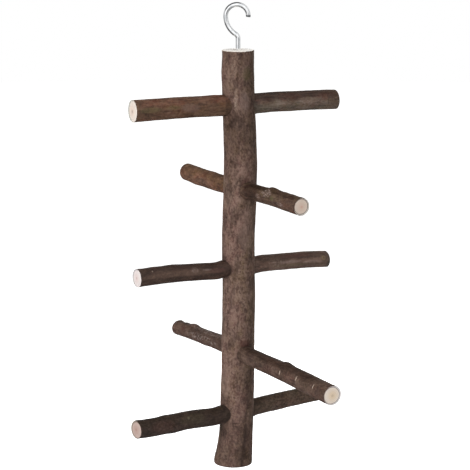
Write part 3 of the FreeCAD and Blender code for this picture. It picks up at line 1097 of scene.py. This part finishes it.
@dataclass
class Trunk(Branch):
    """The upright branch, with its cross holes and the pilot hole of the hook.

    Attributes:
        perches: The perches that go through it.
        bore_clearance: Between a perch and its cross hole, on the radius.
        pilot_radius: Radius of the pilot hole.
        pilot_depth: Depth of the pilot hole.
        pilot_point: Length of its pointed bottom.
    """

    HOLE_SHADE_FADE = 1.2 * MM       # over which the painted shade beside a cross hole fades
    HOLE_SIDES = 96            # of a cross hole
    PILOT_SIDES = 40           # of the pilot hole
    PAST_TOP = 5 * MM          # how far the cutter stands out of the top
    PAST_TIP = 1 * MM          # how far the pilot hole's point lies below the hook's

    perches: tuple[Branch, ...] = ()
    bore_clearance: float = 0.1 * MM
    pilot_radius: float = 2.5 * MM
    pilot_depth: float = 31.0 * MM
    pilot_point: float = 6.0 * MM

    def free(self, along: np.ndarray) -> np.ndarray:
        """How much of the relief stands out at each place: all of it, up to the ends."""
        edge = np.minimum(along - self.surface.low, self.surface.high - along)
        return smooth(-0.5 * MM, 1.5 * MM, edge)

    def bore(self, perch: Branch) -> tuple[np.ndarray, np.ndarray, float]:
        """The cross hole of a perch.

        Args:
            perch: The perch that goes through it.

        Returns:
            A point of its axis, the direction of its axis, and its radius.
        """
        seat = perch.surface
        here = np.array([0.0])
        radius = float(seat.radius(here, here)[0]) + self.bore_clearance
        return seat.middle(here)[0], np.array(seat.axis), radius

    def shade_and_fray(self, points: np.ndarray, along: np.ndarray) -> np.ndarray:
        """How dark the painted shade beside the perches and the edge by a sawn end are."""
        result = np.zeros(len(points))
        for perch in self.perches:
            centre, axis, radius = self.bore(perch)
            away = points - centre
            beside = np.linalg.norm(away - np.outer(away @ axis, axis), axis=1) - radius
            result = np.maximum(result, np.exp(-np.abs(beside) / self.HOLE_SHADE_FADE))
        return np.maximum(result, self.frayed(along))

    def finished(self, piece: bpy.types.Object) -> None:
        """Cuts the cross holes and the pilot hole.

        Args:
            piece: The branch without holes.
        """
        cutter = bmesh.new()
        long = 4 * self.surface.mean_radius
        for perch in self.perches:
            centre, axis, radius = self.bore(perch)
            bmesh.ops.create_cone(
                cutter,
                cap_ends=True,
                segments=self.HOLE_SIDES,
                radius1=radius,
                radius2=radius,
                depth=long,
                matrix=Matrix.Translation(centre) @ turned_to(Vector(axis)),
            )
        top = -self.surface.low
        low_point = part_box("screw_hook")[0].z
        shank = ScrewHook().shank_axis()
        narrowing = top - self.pilot_depth + self.pilot_point
        for low_radius, low, high in (
            (self.pilot_radius, narrowing, top + self.PAST_TOP),
            (0.0, low_point - self.PAST_TIP, narrowing),
        ):
            bmesh.ops.create_cone(
                cutter,
                cap_ends=True,
                segments=self.PILOT_SIDES,
                radius1=low_radius,
                radius2=self.pilot_radius,
                depth=high - low,
                matrix=Matrix.Translation((shank.x, shank.y, (low + high) / 2)),
            )
        bmesh.ops.remove_doubles(cutter, verts=cutter.verts[:], dist=MERGE)
        tool = added("cutter", settled("cutter", cutter))
        cut = piece.modifiers.new("holes", "BOOLEAN")
        cut.operation = "DIFFERENCE"
        cut.solver = "EXACT"
        cut.object = tool
        solid = piece.evaluated_get(bpy.context.evaluated_depsgraph_get())
        whole = bpy.data.meshes.new_from_object(solid)
        piece.modifiers.clear()
        piece.data = whole
        bpy.data.objects.remove(tool)
        self.heights = None


@dataclass
class ScrewHook:
    """The screw hook: bright wire bent to an open eye, with a threaded shank.

    Attributes:
        wire: Diameter of the wire.
        top_radius: Centre line of the round top.
        side_radius: Centre line of the flatter side.
        neck_radius: Centre line of the bend into the shank.
        eye_offset: From the middle of the round top to the line of the shank.
        tip_angle: Where the tip ends, in degrees above the eye's middle.
        turn: Heading of the plane of the hook, in degrees from +X.
        shank_shown: Straight shank above the wood.
        point: Length of the pointed end.
        thread_pitch: Distance between two turns of the thread.
        thread_depth: Depth of the thread.
        sides: Corners round the wire.
    """

    BEND_STEPS = (64, 24, 20)  # of the round top, the flatter side and the neck
    SHANK_STEP = 1.5 * MM      # between two rings of corners of the plain shank
    THREAD_STEPS = 10          # rings of corners in each turn of the thread
    BLUNT = 0.1 * MM           # how much of the point is left out
    WORN = 0.7 * MM            # rounding of the cut end of the wire
    THREAD_SHARE = 0.3         # half the width of the thread's ridge, as a share of its pitch
    POINT_SHARE = 0.04         # radius of the blunt point, as a share of the wire's

    wire: float = 4.8 * MM
    top_radius: float = 11.3 * MM
    side_radius: float = 22.0 * MM
    neck_radius: float = 4.5 * MM
    eye_offset: float = 1.1 * MM
    tip_angle: float = -6.0
    turn: float = -30.0
    shank_shown: float = 11.8 * MM
    point: float = 5.0 * MM
    thread_pitch: float = 2.2 * MM
    thread_depth: float = 0.6 * MM
    sides: int = 32

    def across(self) -> Vector:
        """The level direction in the plane of the hook, towards its tip."""
        angle = math.radians(self.turn)
        return Vector((math.cos(angle), math.sin(angle), 0.0))

    def shank_axis(self) -> Vector:
        """The level place of the shank."""
        return self.across() * self.eye_offset

    def bent(self) -> tuple[bmesh.types.BMesh, Vector]:
        """Bends the wire to the eye, runs it on down into the wood and cuts its thread.

        Returns:
            The wire, and the middle of its cut end.
        """
        across = self.across()
        plane = across.cross(UP)
        eye = UP * -(self.top_radius - self.wire / 2)
        side_centre = self.side_radius - self.top_radius
        neck_across = self.eye_offset - self.neck_radius
        reach = self.side_radius + self.neck_radius
        neck_down = -math.sqrt(reach**2 - (side_centre - neck_across) ** 2)
        meet = math.atan2(-neck_down, side_centre - neck_across)
        tip = math.radians(self.tip_angle)

        wire = bmesh.new()
        start = eye + (across * math.cos(tip) + UP * math.sin(tip)) * self.top_radius
        tangent = plane.cross(start - eye).normalized()
        bmesh.ops.create_circle(
            wire,
            cap_ends=True,
            segments=self.sides,
            radius=self.wire / 2,
            matrix=Matrix.Translation(start) @ turned_to(tangent),
        )
        end = wire.faces[:] + wire.edges[:] + wire.verts[:]
        bends = (
            (eye, math.pi - tip),
            (eye + across * side_centre, meet),
            (eye + across * neck_across + UP * neck_down, -meet),
        )
        for (centre, angle), steps in zip(bends, self.BEND_STEPS):
            spun = bmesh.ops.spin(
                wire, geom=end, cent=centre, axis=plane, angle=angle, steps=steps, use_merge=False
            )
            end = spun["geom_last"]
        neck = eye.z + neck_down
        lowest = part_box("screw_hook")[0].z
        thread_top = neck - self.shank_shown - self.wire / 2
        tapered = lowest + self.point
        thread_step = self.thread_pitch / self.THREAD_STEPS
        for low, high, step in (
            (thread_top, neck, self.SHANK_STEP),
            (tapered, thread_top, thread_step),
            (lowest + self.BLUNT, tapered, thread_step),
        ):
            steps = math.ceil((high - low) / step)
            spun = bmesh.ops.spin(
                wire, geom=end, cent=eye, axis=UP, dvec=UP * ((low - high) / steps), angle=0.0, steps=steps
            )
            end = spun["geom_last"]
        self.threaded(wire, thread_top, tapered, lowest)
        bmesh.ops.remove_doubles(wire, verts=wire.verts[:], dist=MERGE)
        sharp = [edge for edge in wire.edges if edge.is_boundary]
        bmesh.ops.holes_fill(wire, edges=sharp, sides=0)
        bmesh.ops.recalc_face_normals(wire, faces=wire.faces[:])
        rim = [
            edge
            for edge in wire.edges
            if edge.calc_face_angle(0.0) > 1.0 and edge.verts[0].co.z > neck
        ]
        bmesh.ops.bevel(
            wire, geom=rim, offset=self.WORN, affect="EDGES", segments=4, profile=0.5, material=-1
        )
        return wire, start

    def build(self, finish: ZincFinish) -> bpy.types.Object:
        """Builds, dresses and places the hook.

        Args:
            finish: The finish of the wire.

        Returns:
            The finished piece.
        """
        wire, cut_end = self.bent()
        mesh = settled("screw_hook_wire", wire)
        mesh.materials.append(finish.material(cut_end))
        mesh.shade_smooth()
        mesh.set_sharp_from_angle(angle=WIRE_CREASE)
        piece = added("screw_hook_wire", mesh)
        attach(piece, "root")
        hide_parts("screw_hook")
        log.info("screw_hook_wire: %d faces", len(mesh.polygons))
        return piece

    def threaded(self, wire: bmesh.types.BMesh, top: float, tapered: float, lowest: float) -> None:
        """Cuts the thread and the point into the straight end of the wire.

        Args:
            wire: The wire.
            top: Where the thread starts.
            tapered: Where the point starts.
            lowest: Where the point ends.
        """
        axis = self.shank_axis()
        for corner in wire.verts:
            if corner.co.z > top - 0.01 * MM:
                continue
            away = Vector((corner.co.x - axis.x, corner.co.y - axis.y, 0.0))
            turned = math.atan2(away.y, away.x) / TURN
            phase = (corner.co.z / self.thread_pitch + turned) % 1.0
            ridge = max(0.0, 1 - abs(phase - 0.5) / self.THREAD_SHARE)
            run_in = min(1.0, (top - corner.co.z) / self.thread_pitch)
            radius = self.wire / 2 - self.thread_depth * (1 - ridge) * run_in
            narrowed = (corner.co.z - lowest) / (tapered - lowest)
            taper = min(1.0, max(self.POINT_SHARE, narrowed))
            place = axis + away.normalized() * radius * taper
            corner.co = Vector((place.x, place.y, corner.co.z))


@dataclass
class Studio:
    """The camera of the photo, a plain pale floor, lamps and a white surround.

    Attributes:
        focal_pixels: Focal length, in pixels of the photo.
        pitch: How far the camera looks down, in degrees.
        heading: Where it looks, in degrees from +Y towards +X.
        back: Its distance from the vertical through the hook, in metres.
        aside: Its place to the right of that vertical, in metres.
        height: Its height above the origin, in metres.
        floor_gap: From the foot of the ladder down to the floor, in metres.
        sensor: Width of the camera's sensor, in mm.
        soft_light: Strength of the even light from all round.
        wall_light: Strength of the walls that the metal mirrors.
        room_lights: The lit parts of the room that the metal mirrors: their middle to the right,
            away and up, the closeness to it at which they start and are full, and their strength.
        room_gap: A dark gap in it: its middle, and the closeness at which it starts and is full.
        lamps: The arguments of lamp() for each lamp.
        room_shade: Least strength of that room.
        floor_radius: Radius of the floor, in metres.
    """

    focal_pixels: float = 2000.0
    pitch: float = 11.547
    heading: float = 30.0
    back: float = 2.0
    aside: float = -1.95 * MM
    height: float = 176.3 * MM
    floor_gap: float = 0.35
    sensor: float = 36.0
    soft_light: float = 0.22
    wall_light: float = 0.6
    room_lights: tuple[tuple[float, ...], ...] = (
        (0.0, -1.0, 0.15, 0.5, 0.78, 1.2),
        (0.0, 1.0, -0.05, 0.92, 0.98, 1.0),
        (0.95, 0.3, -0.1, 0.7, 0.9, 0.75),
        (0.75, 0.1, 0.65, 0.72, 0.92, 0.85),
        (0.7, 0.0, -0.7, 0.7, 0.92, 0.5),
        (0.0, 0.0, -1.0, 0.1, 0.6, 0.2),
    )
    room_gap: tuple[float, ...] = (0.34, -0.94, -0.2, 0.985, 0.955)
    lamps: tuple[tuple[str, float, float, float, float, float], ...] = (
        ("key", -1.35, -1.4, 0.4, 0.8, 33.0),
        ("fill", 0.8, -1.7, 0.0, 1.0, 6.5),
        ("top", 0.1, -0.3, 1.8, 1.2, 18.0),
        ("back", 0.2, 1.8, 0.0, 1.2, 10.0),
    )
    room_shade: float = 0.09
    floor_radius: float = 6.0

    def away(self) -> Vector:
        """The level direction in which the camera looks."""
        angle = math.radians(self.heading)
        return Vector((math.sin(angle), math.cos(angle), 0.0))

    def right(self) -> Vector:
        """The level direction to the right of the picture."""
        return self.away().cross(UP)

    def offset(self, right: float, away: float, up: float) -> Vector:
        """A vector given to the right, away and up as the camera sees it."""
        return self.right() * right + self.away() * away + UP * up

    def camera(self) -> None:
        """Makes the camera."""
        data = bpy.data.cameras.new("camera")
        data.sensor_width = self.sensor
        data.lens = self.focal_pixels / IMAGE_PIXELS * self.sensor
        data.clip_start = 0.1
        data.clip_end = 50.0
        camera = added("camera", data)
        tilt = math.radians(self.pitch)
        forward = self.away() * math.cos(tilt) - UP * math.sin(tilt)
        upward = self.right().cross(forward)
        place = self.offset(self.aside, -self.back, self.height)
        turn = Matrix((self.right(), upward, -forward)).transposed().to_4x4()
        camera.matrix_world = Matrix.Translation(place) @ turn
        bpy.context.scene.camera = camera

    def lamp(self, name: str, right: float, away: float, up: float, size: float, power: float) -> None:
        """Makes a soft square lamp that points at the middle of the ladder.

        The metal doesn't mirror it. What the metal mirrors is the room in surround().

        Args:
            name: The lamp's name.
            right: Its place to the right of the ladder, in metres.
            away: Its place behind the ladder, in metres.
            up: Its place above the ladder's middle, in metres.
            size: Its side, in metres.
            power: Its power, in watts.
        """
        data = bpy.data.lights.new(name, "AREA")
        data.size = size
        data.energy = power
        lamp = added(name, data)
        middle = UP * (cad_box[0].z + cad_box[1].z) / 2
        offset = self.offset(right, away, up)
        lamp.matrix_world = Matrix.Translation(middle + offset) @ turned_to(offset)
        lamp.visible_camera = False
        lamp.visible_glossy = False

    def floor(self) -> None:
        """Makes the plain pale floor."""
        plate = bmesh.new()
        level = Matrix.Translation((0.0, 0.0, cad_box[0].z - self.floor_gap))
        bmesh.ops.create_circle(plate, cap_ends=True, segments=96, radius=self.floor_radius, matrix=level)
        mesh = settled("floor", plate)
        material = bpy.data.materials.new("floor")
        material.use_nodes = True
        material.node_tree.nodes.clear()
        weaver = Weaver(material.node_tree)
        place = weaver.add("ShaderNodeTexCoord").outputs["Object"]
        level_place = weaver.scaled(place, (1.0, 1.0, 0.0))
        reach = weaver.add("ShaderNodeVectorMath", {0: level_place}, operation="LENGTH").outputs["Value"]
        brightness = weaver.math("ADD", 0.3, weaver.math("MULTIPLY", weaver.rise(reach, 0.3, 1.0), 0.7))
        path = weaver.add("ShaderNodeLightPath").outputs
        seen = weaver.math("MAXIMUM", path["Is Camera Ray"], path["Is Glossy Ray"])
        seen = weaver.math("MAXIMUM", seen, path["Is Transmission Ray"])
        matte = weaver.add("ShaderNodeBsdfDiffuse", {"Color": srgb(232, 232, 232)})
        glow = weaver.add("ShaderNodeEmission", {"Strength": weaver.math("MULTIPLY", brightness, seen)})
        both = weaver.add("ShaderNodeAddShader", {0: matte.outputs[0], 1: glow.outputs[0]})
        clear = weaver.add("ShaderNodeBsdfTransparent")
        back = weaver.add("ShaderNodeNewGeometry").outputs["Backfacing"]
        one_way = weaver.add("ShaderNodeMixShader", {0: back, 1: both.outputs[0], 2: clear.outputs[0]})
        output = weaver.add("ShaderNodeOutputMaterial")
        weaver.put(output.inputs["Surface"], one_way.outputs[0])
        mesh.materials.append(material)
        floor = added("floor", mesh)
        floor.visible_glossy = False

    def surround(self) -> None:
        """Makes the world: white behind, soft light, and a room for the metal to mirror."""
        world = bpy.data.worlds.new("studio")
        world.use_nodes = True
        world.node_tree.nodes.clear()
        weaver = Weaver(world.node_tree)
        path = weaver.add("ShaderNodeLightPath")
        way = weaver.add("ShaderNodeTexCoord").outputs["Generated"]
        level = weaver.add("ShaderNodeSeparateXYZ", {0: way}).outputs["Z"]
        height = weaver.math("ABSOLUTE", level)
        room = weaver.math("MULTIPLY", weaver.rise(height, 0.5, 0.22), self.wall_light)
        for right, away, up, low, high, light in self.room_lights:
            reach = weaver.dot(way, tuple(self.offset(right, away, up).normalized()))
            lit = weaver.math("MULTIPLY", weaver.rise(reach, low, high), light)
            room = weaver.math("MAXIMUM", room, lit)
        right, away, up, low, high = self.room_gap
        reach = weaver.dot(way, tuple(self.offset(right, away, up).normalized()))
        room = weaver.math("MULTIPLY", room, weaver.rise(reach, low, high))
        lower = weaver.math("MULTIPLY", weaver.rise(level, 0.05, -0.25), 0.2)
        room = weaver.math("MULTIPLY", room, weaver.math("SUBTRACT", 1.0, lower))
        room = weaver.math("MAXIMUM", room, self.room_shade)
        soft = weaver.add("ShaderNodeBackground", {"Strength": self.soft_light})
        mirrored = weaver.add("ShaderNodeBackground", {"Strength": room})
        white = weaver.add("ShaderNodeBackground", {"Strength": 1.0})
        for light in (soft, mirrored, white):
            light.inputs["Color"].default_value = (1.0, 1.0, 1.0, 1.0)
        glossy = path.outputs["Is Glossy Ray"]
        both = weaver.add("ShaderNodeMixShader", {0: glossy, 1: soft.outputs[0], 2: mirrored.outputs[0]})
        seen = weaver.math("MAXIMUM", path.outputs["Is Camera Ray"], path.outputs["Is Transmission Ray"])
        shown = weaver.add("ShaderNodeMixShader", {0: seen, 1: both.outputs[0], 2: white.outputs[0]})
        output = weaver.add("ShaderNodeOutputWorld")
        weaver.put(output.inputs["Surface"], shown.outputs[0])
        bpy.context.scene.world = world

    def build(self) -> None:
        """Makes the whole studio."""
        self.camera()
        self.floor()
        self.surround()
        for lamp in self.lamps:
            self.lamp(*lamp)
        bpy.context.scene.view_settings.view_transform = "Standard"


PALE_CUT = CutFinish(
    sapwood=srgb(217, 207, 198),
    heart=srgb(215, 198, 186),
    ring=srgb(202, 183, 169),
    pith=srgb(140, 124, 112),
    bast=srgb(196, 189, 180),
    bark=srgb(180, 178, 170),
    bark_share=0.16,
    lean=0.34,
    lean_side=90.0,
)
WHITE_CUT = CutFinish(
    sapwood=srgb(212, 204, 201),
    heart=srgb(210, 196, 192),
    ring=srgb(204, 186, 183),
    pith=srgb(176, 146, 140),
    bast=srgb(194, 185, 184),
    bark=srgb(178, 173, 173),
    bark_share=0.15,
    lean=0.3,
    lean_side=90.0,
)
# top end of the upright branch: pale wood, pushed to near white as painted light on the upward face
TOP_CUT_WITH_PAINTED_LIGHT = CutFinish(
    sapwood=srgb(254, 251, 247),
    heart=srgb(252, 247, 240),
    ring=srgb(243, 233, 222),
    pith=srgb(236, 220, 202),
    bast=srgb(236, 226, 214),
    bark=srgb(142, 122, 108),
    bark_share=0.06,
)
ROSY_CUT = CutFinish(
    sapwood=srgb(220, 203, 189),
    heart=srgb(216, 193, 177),
    ring=srgb(194, 171, 155),
    pith=srgb(206, 160, 140),
    bast=srgb(122, 108, 98),
    bark=srgb(208, 201, 193),
    bark_share=0.2,
    lean=0.12,
    lean_side=-120.0,
)
PINK_CUT = CutFinish(
    sapwood=srgb(179, 160, 151),
    heart=srgb(171, 146, 137),
    ring=srgb(154, 127, 120),
    pith=srgb(146, 114, 106),
    bast=srgb(128, 114, 105),
    bark=srgb(142, 132, 122),
    bark_share=0.17,
    lean=0.16,
    lean_side=90.0,
)
BEIGE_CUT = CutFinish(
    sapwood=srgb(234, 222, 210),
    heart=srgb(230, 210, 184),
    ring=srgb(210, 188, 164),
    pith=srgb(196, 172, 144),
    bast=srgb(156, 141, 134),
    bark=srgb(226, 222, 220),
    bark_share=0.19,
    lean=0.12,
    lean_side=-110.0,
)
AGED_CUT = CutFinish(
    sapwood=srgb(222, 206, 190),
    heart=srgb(214, 190, 162),
    ring=srgb(194, 168, 142),
    pith=srgb(178, 150, 124),
    bast=srgb(158, 138, 120),
    bark=srgb(104, 90, 80),
)
PORE = srgb(186, 168, 152)
ASH = srgb(162, 142, 134)
PALE = srgb(150, 132, 118)
SKIN = srgb(142, 119, 108)
MAUVE = srgb(122, 104, 98)
OLIVE = srgb(86, 80, 54)
MAROON = srgb(74, 46, 40)
SCAR = srgb(50, 37, 32)
DUSK = srgb(62, 46, 38)
STAIN_AND_SHADE = srgb(120, 104, 96)


def stain(
    along: float, angle: float, round_half: float, along_half: float, strength: float, broken: float = 0.0
) -> Mark:
    """A soft darkening through which the bark shows: a stain, and painted shade where noted.

    The arguments are those of Mark.
    """
    return Mark(along, angle, round_half, along_half, STAIN_AND_SHADE, strength, broken, stain=True)


TRUNK_BARK = BarkFinish(
    ground=srgb(106, 84, 73),
    bloom=srgb(138, 115, 103),
    blush=srgb(106, 76, 72),
    moss=srgb(92, 76, 54),
    moss_side=20.0,
    blotch=0.3,
    speckle=0.42,
    streak=0.12,
    crack=0.12,
    sheen=0.3,
    seed=0.1,
)
TRUNK_MARKS = (
    stain(140, 165, 13, 44, 0.48, 0.3),
    stain(118, 95, 20, 38, 0.33),
    stain(60, 125, 26, 30, 0.11),
    stain(62, 106, 6.5, 26, 0.32, 0.4),
    stain(75, 62, 9, 34, 0.26),
    stain(462, 110, 24, 46, 0.34),
    stain(385, 70, 9, 34, 0.1),
    stain(383, 108, 7, 20, 0.25, 0.4),
    Mark(383, 170, 8, 20, SKIN, 0.4, 0.4),
    Mark(448, 130, 15, 34, SKIN, 0.3, 1),
    Mark(452, 100, 16, 34, SCAR, 0.5, 1),
    Mark(436, 150, 14, 24, SCAR, 0.45, 1),
    stain(448, 100, 6, 34, 0.26, 0.3),
    Mark(225, 86, 10, 26, SKIN, 0.3, 0.3),
    Mark(300, 138, 3.5, 20, SKIN, 0.2, 0.4),
    # painted highlight: a pale upright streak on the upright branch beside the end of perch 1
    Mark(93, 129, 2.6, 12, PALE, 0.6, 0.8),
    Mark(94, 98, 6, 11, MAUVE, 0.4, 0.3),
    Mark(60, 135, 3, 12, PALE, 0.3, 0.9),
    Mark(66, 85, 6, 8, OLIVE, 0.35),
    # painted shade on the upright branch just above the holes of perches 2 and 4
    Mark(176, 100, 5, 5, MAROON, 0.5),
    Mark(343, 95, 7, 5, MAROON, 0.55),
    # painted shade on the upright branch beside where perches 3 and 5 come out
    Mark(268, 170, 4.5, 6.5, SCAR, 0.45),
    Mark(256, 180, 5, 3, SCAR, 0.35, 0.3),
    Mark(421, 166, 4, 6, SCAR, 0.55),
    Mark(212.4, 169, 0.9, 1.2, SCAR, height=-0.2),
    Mark(215.5, 131, 1, 1.1, SCAR, height=-0.2),
    Mark(427.5, 125, 2.8, 0.5, SCAR, height=-0.2),
    Mark(431, 121, 2.2, 0.45, SCAR, height=-0.2),
    Mark(429.5, 131, 0.5, 2.6, SCAR, height=-0.2),
    Mark(436, 88, 1.6, 27, SCAR, 0.45, 0.3, height=-0.2),
)


def new_perch(
    number: int, facing: Facing, bark: BarkFinish, near_cut: CutFinish, marks: tuple[Mark, ...], seed: float
) -> Branch:
    """A perch.

    Args:
        number: Its number, from the top down.
        facing: Where its near end points.
        bark: The finish of its bark.
        near_cut: The finish of its near sawn end.
        marks: The marks on its bark.
        seed: Shifts its relief.

    Returns:
        The perch, measured but not yet built.
    """
    return Branch(
        node=f"perch_{number}",
        name=f"perch_branch_{number}",
        facing=facing,
        bark=bark,
        near_cut=near_cut,
        far_cut=AGED_CUT,
        marks=marks,
        seed=seed,
    )


def perches() -> tuple[Branch, ...]:
    """The five perches, from the top down."""
    return (
        new_perch(
            1,
            Facing.LEFT,
            BarkFinish(
                ground=srgb(102, 73, 58),
                bloom=srgb(118, 92, 77),
                blush=srgb(114, 68, 52),
                moss=srgb(84, 72, 46),
                blush_amount=0.8,
                moss_amount=0.45,
                moss_side=-140.0,
                blotch=0.25,
                streak=0.35,
                far_painted_light=(1.12, 1.5, 1.8, 1.0),
                seed=1.3,
            ),
            PALE_CUT,
            (
                Mark(56, -86, 5, 11, MAUVE, 0.3, 0.3),
                Mark(99, -82, 3, 13, OLIVE, 0.4),
                Mark(75, -78, 2.5, 9, OLIVE, 0.35),
                # painted shade along the upper front of the far half
                stain(-62, -34, 8, 68, 0.7),
                Mark(-66, -72, 0.9, 22, SCAR, 0.35, 0.3),
                Mark(-44, -104, 0.9, 18, SCAR, 0.35, 0.3),
                Mark(-84, -118, 0.8, 20, SCAR, 0.3, 0.3),
                Mark(-74, -80, 4, 13, PALE, 0.4, 0.6),
                Mark(-42, -92, 4, 9, PALE, 0.3, 0.6),
                Mark(-30, -75, 5, 10, MAROON, 0.35, 0.4),
                Mark(-106, -80, 16, 7, DUSK, 0.35, 0.3),
                Mark(-98, -80, 14, 0.8, SCAR, 0.45, height=0.1),
            ),
            seed=3.0,
        ),
        new_perch(
            2,
            Facing.FRONT,
            BarkFinish(
                ground=srgb(82, 63, 53),
                bloom=srgb(108, 87, 75),
                blush=srgb(92, 60, 46),
                moss=srgb(76, 66, 44),
                blotch=0.4,
                far_painted_light=(1.56, 1.34, 1.2, 1.0),
                seed=2.1,
            ),
            ROSY_CUT,
            (
                # painted shade at the start of the perch, beside the upright branch
                Mark(34, 62, 11, 17, srgb(112, 88, 86), 0.75, 0.2, stain=True),
                # painted shade along the top of the near half
                stain(66, 26, 4, 62, 0.52),
                Mark(64, 12, 3.5, 3.5, SCAR, 0.3, height=0.7),
                Mark(76, 79, 3, 4, OLIVE, 0.5),
                Mark(64, 58, 4.6, 9, ASH, 0.75, 0.9, height=0.1),
                Mark(50, 88, 3, 5, ASH, 0.4, 0.9, height=0.1),
                Mark(92, 100, 2.5, 7, ASH, 0.5, 0.9, height=0.1),
                Mark(-62, 88, 3.6, 26, PALE, 0.15, 0.8),
                # painted shade along the top of the far half
                stain(-62, 15, 5, 46, 0.25),
            ),
            seed=5.0,
        ),
        new_perch(
            3,
            Facing.LEFT,
            BarkFinish(
                ground=srgb(68, 51, 43),
                bloom=srgb(96, 76, 66),
                blush=srgb(74, 50, 41),
                moss=srgb(54, 42, 33),
                moss_side=20.0,
                streak=0.35,
                sheen=0.8,
                far_painted_light=(2.0, 2.1, 2.1, 1.0),
                seed=3.7,
            ),
            WHITE_CUT,
            (
                # painted highlight: pale streaks along the middle of the front, near and far; then painted
                # shade on the upper front
                Mark(72, -80, 3.4, 46, srgb(110, 88, 76), 0.5, 0.4),
                Mark(-70, -84, 3.8, 46, srgb(126, 106, 96), 0.4, 0.6),
                Mark(66, -34, 3.6, 52, SCAR, 0.5, 0.2),
                stain(-62, -42, 5, 50, 0.48),
                Mark(-66, -38, 2.2, 26, MAROON, 0.7, 0.4),
                Mark(-80, -58, 1.6, 16, SCAR, 0.5, 0.4),
                Mark(-46, -70, 1.6, 12, SCAR, 0.45, 0.4),
                Mark(-58, -82, 1.8, 14, ASH, 0.4, 0.5, height=0.1),
                Mark(-84, -92, 1.5, 11, ASH, 0.35, 0.5, height=0.1),
                Mark(-60, -108, 2, 24, OLIVE, 0.35, 0.3),
                Mark(-76, -70, 7, 22, SCAR, 0.3, 1),
                Mark(-44, -88, 5, 12, PALE, 0.35, 1),
                Mark(-52, -58, 3, 9, DUSK, 0.5, 0.5),
                Mark(-84, -104, 3, 9, DUSK, 0.4, 0.5),
                Mark(54, -62, 3.4, 4.5, ASH, 0.32, 0.7, height=0.1),
                Mark(30, -76, 3, 11, srgb(88, 60, 54), 0.55, 0.3),
                Mark(34, -50, 1.2, 10, SCAR, 0.5, 0.3),
                Mark(32, -98, 1.5, 12, SCAR, 0.5, 0.3),
                Mark(40, -64, 1.2, 6, ASH, 0.3, 0.5),
                Mark(102.1, -43, 1, 1, PALE, 0.6, height=0.2),
                Mark(-106, -80, 14, 5, srgb(52, 46, 38), 0.5, 0.2),
                Mark(-98.1, -69, 4.3, 4.3, srgb(50, 42, 32), 0.55, height=0.2),
                Mark(-98.1, -69, 2.8, 2.8, srgb(112, 94, 72), 0.7, height=0.3),
                Mark(-98.1, -69, 1.1, 1.1, SCAR, 0.6, height=0.1),
            ),
            seed=7.0,
        ),
        new_perch(
            4,
            Facing.FRONT,
            BarkFinish(
                ground=srgb(88, 68, 59),
                bloom=srgb(114, 93, 82),
                blush=srgb(92, 61, 52),
                moss=srgb(68, 55, 42),
                blotch=0.4,
                sheen=0.5,
                far_painted_light=(1.05, 1.02, 1.02, 1.0),
                seed=4.4,
            ),
            BEIGE_CUT,
            (
                # painted shade along the top of the near half
                stain(96, 18, 7, 94, 0.6),
                Mark(105.7, 78, 2.6, 0.75, PORE, 0.8, height=0.1),
                Mark(136.7, 63, 2.6, 0.75, PORE, 0.75, height=0.1),
                Mark(168.1, 62, 2.6, 0.75, PORE, 0.75, height=0.1),
                Mark(-116.4, 3, 2.5, 2.5, SCAR, 0.7, height=-0.6),
                Mark(-98.8, 0, 3.5, 4, SCAR, 0.2, height=0.7),
                Mark(-111.4, 61, 4, 5, MAROON, 0.5),
                Mark(-68, 66, 8, 44, SCAR, 0.3),
                Mark(-66, 84, 5, 40, srgb(166, 151, 144), 0.42, 1, height=0.1),
                Mark(-60, 20, 4, 40, srgb(162, 149, 141), 0.45, 1, height=0.1),
                Mark(-78, 45, 4, 12, SCAR, 0.4, 0.4),
                Mark(-40, 60, 3, 8, SCAR, 0.35, 0.4),
            ),
            seed=9.0,
        ),
        new_perch(
            5,
            Facing.LEFT,
            BarkFinish(
                ground=srgb(60, 48, 41),
                bloom=srgb(78, 64, 57),
                blush=srgb(68, 44, 37),
                moss=srgb(50, 44, 31),
                crevice=srgb(36, 29, 25),
                moss_side=10.0,
                blotch=0.5,
                speckle=0.5,
                sheen=0.5,
                far_painted_light=(1.65, 1.62, 1.5, 1.0),
                seed=5.9,
            ),
            PINK_CUT,
            (
                Mark(98, -80, 7, 16, srgb(80, 54, 48), 0.45, 0.3),
                Mark(80, -60, 9, 44, SKIN, 0.14, 1),
                stain(74, -52, 6, 56, 0.3),
                Mark(80, -40, 1, 30, SCAR, 0.45, 0.5),
                Mark(58, -84, 1, 22, SCAR, 0.4, 0.5),
                Mark(-62, -80, 9, 44, SKIN, 0.2, 1),
                Mark(62, -66, 6, 18, srgb(74, 66, 51), 0.4, 0.3),
                Mark(67, -57, 2.6, 2.6, SCAR, 0.4, height=0.3),
                Mark(67, -57, 1.8, 1.7, srgb(104, 96, 78), 0.55, height=0.1),
            ),
            seed=11.0,
        ),
    )


def main() -> None:
    """Builds the ladder and its studio, and reports each piece."""
    logging.basicConfig(level=logging.INFO, format="%(name)s: %(message)s")
    rungs = perches()
    trunk = Trunk(
        node="trunk",
        name="upright_branch",
        facing=Facing.DOWN,
        bark=TRUNK_BARK,
        near_cut=BEIGE_CUT,
        far_cut=TOP_CUT_WITH_PAINTED_LIGHT,
        marks=TRUNK_MARKS,
        sides=128,
        rim=0.3 * MM,
        ridge=0.14 * MM,
        lump=0.4 * MM,
        seed=1.0,
        perches=rungs,
    )
    trunk.build()
    for perch in rungs:
        perch.build()
    ScrewHook().build(ZincFinish())
    Studio().build()


if __name__ == "__main__":
    main()
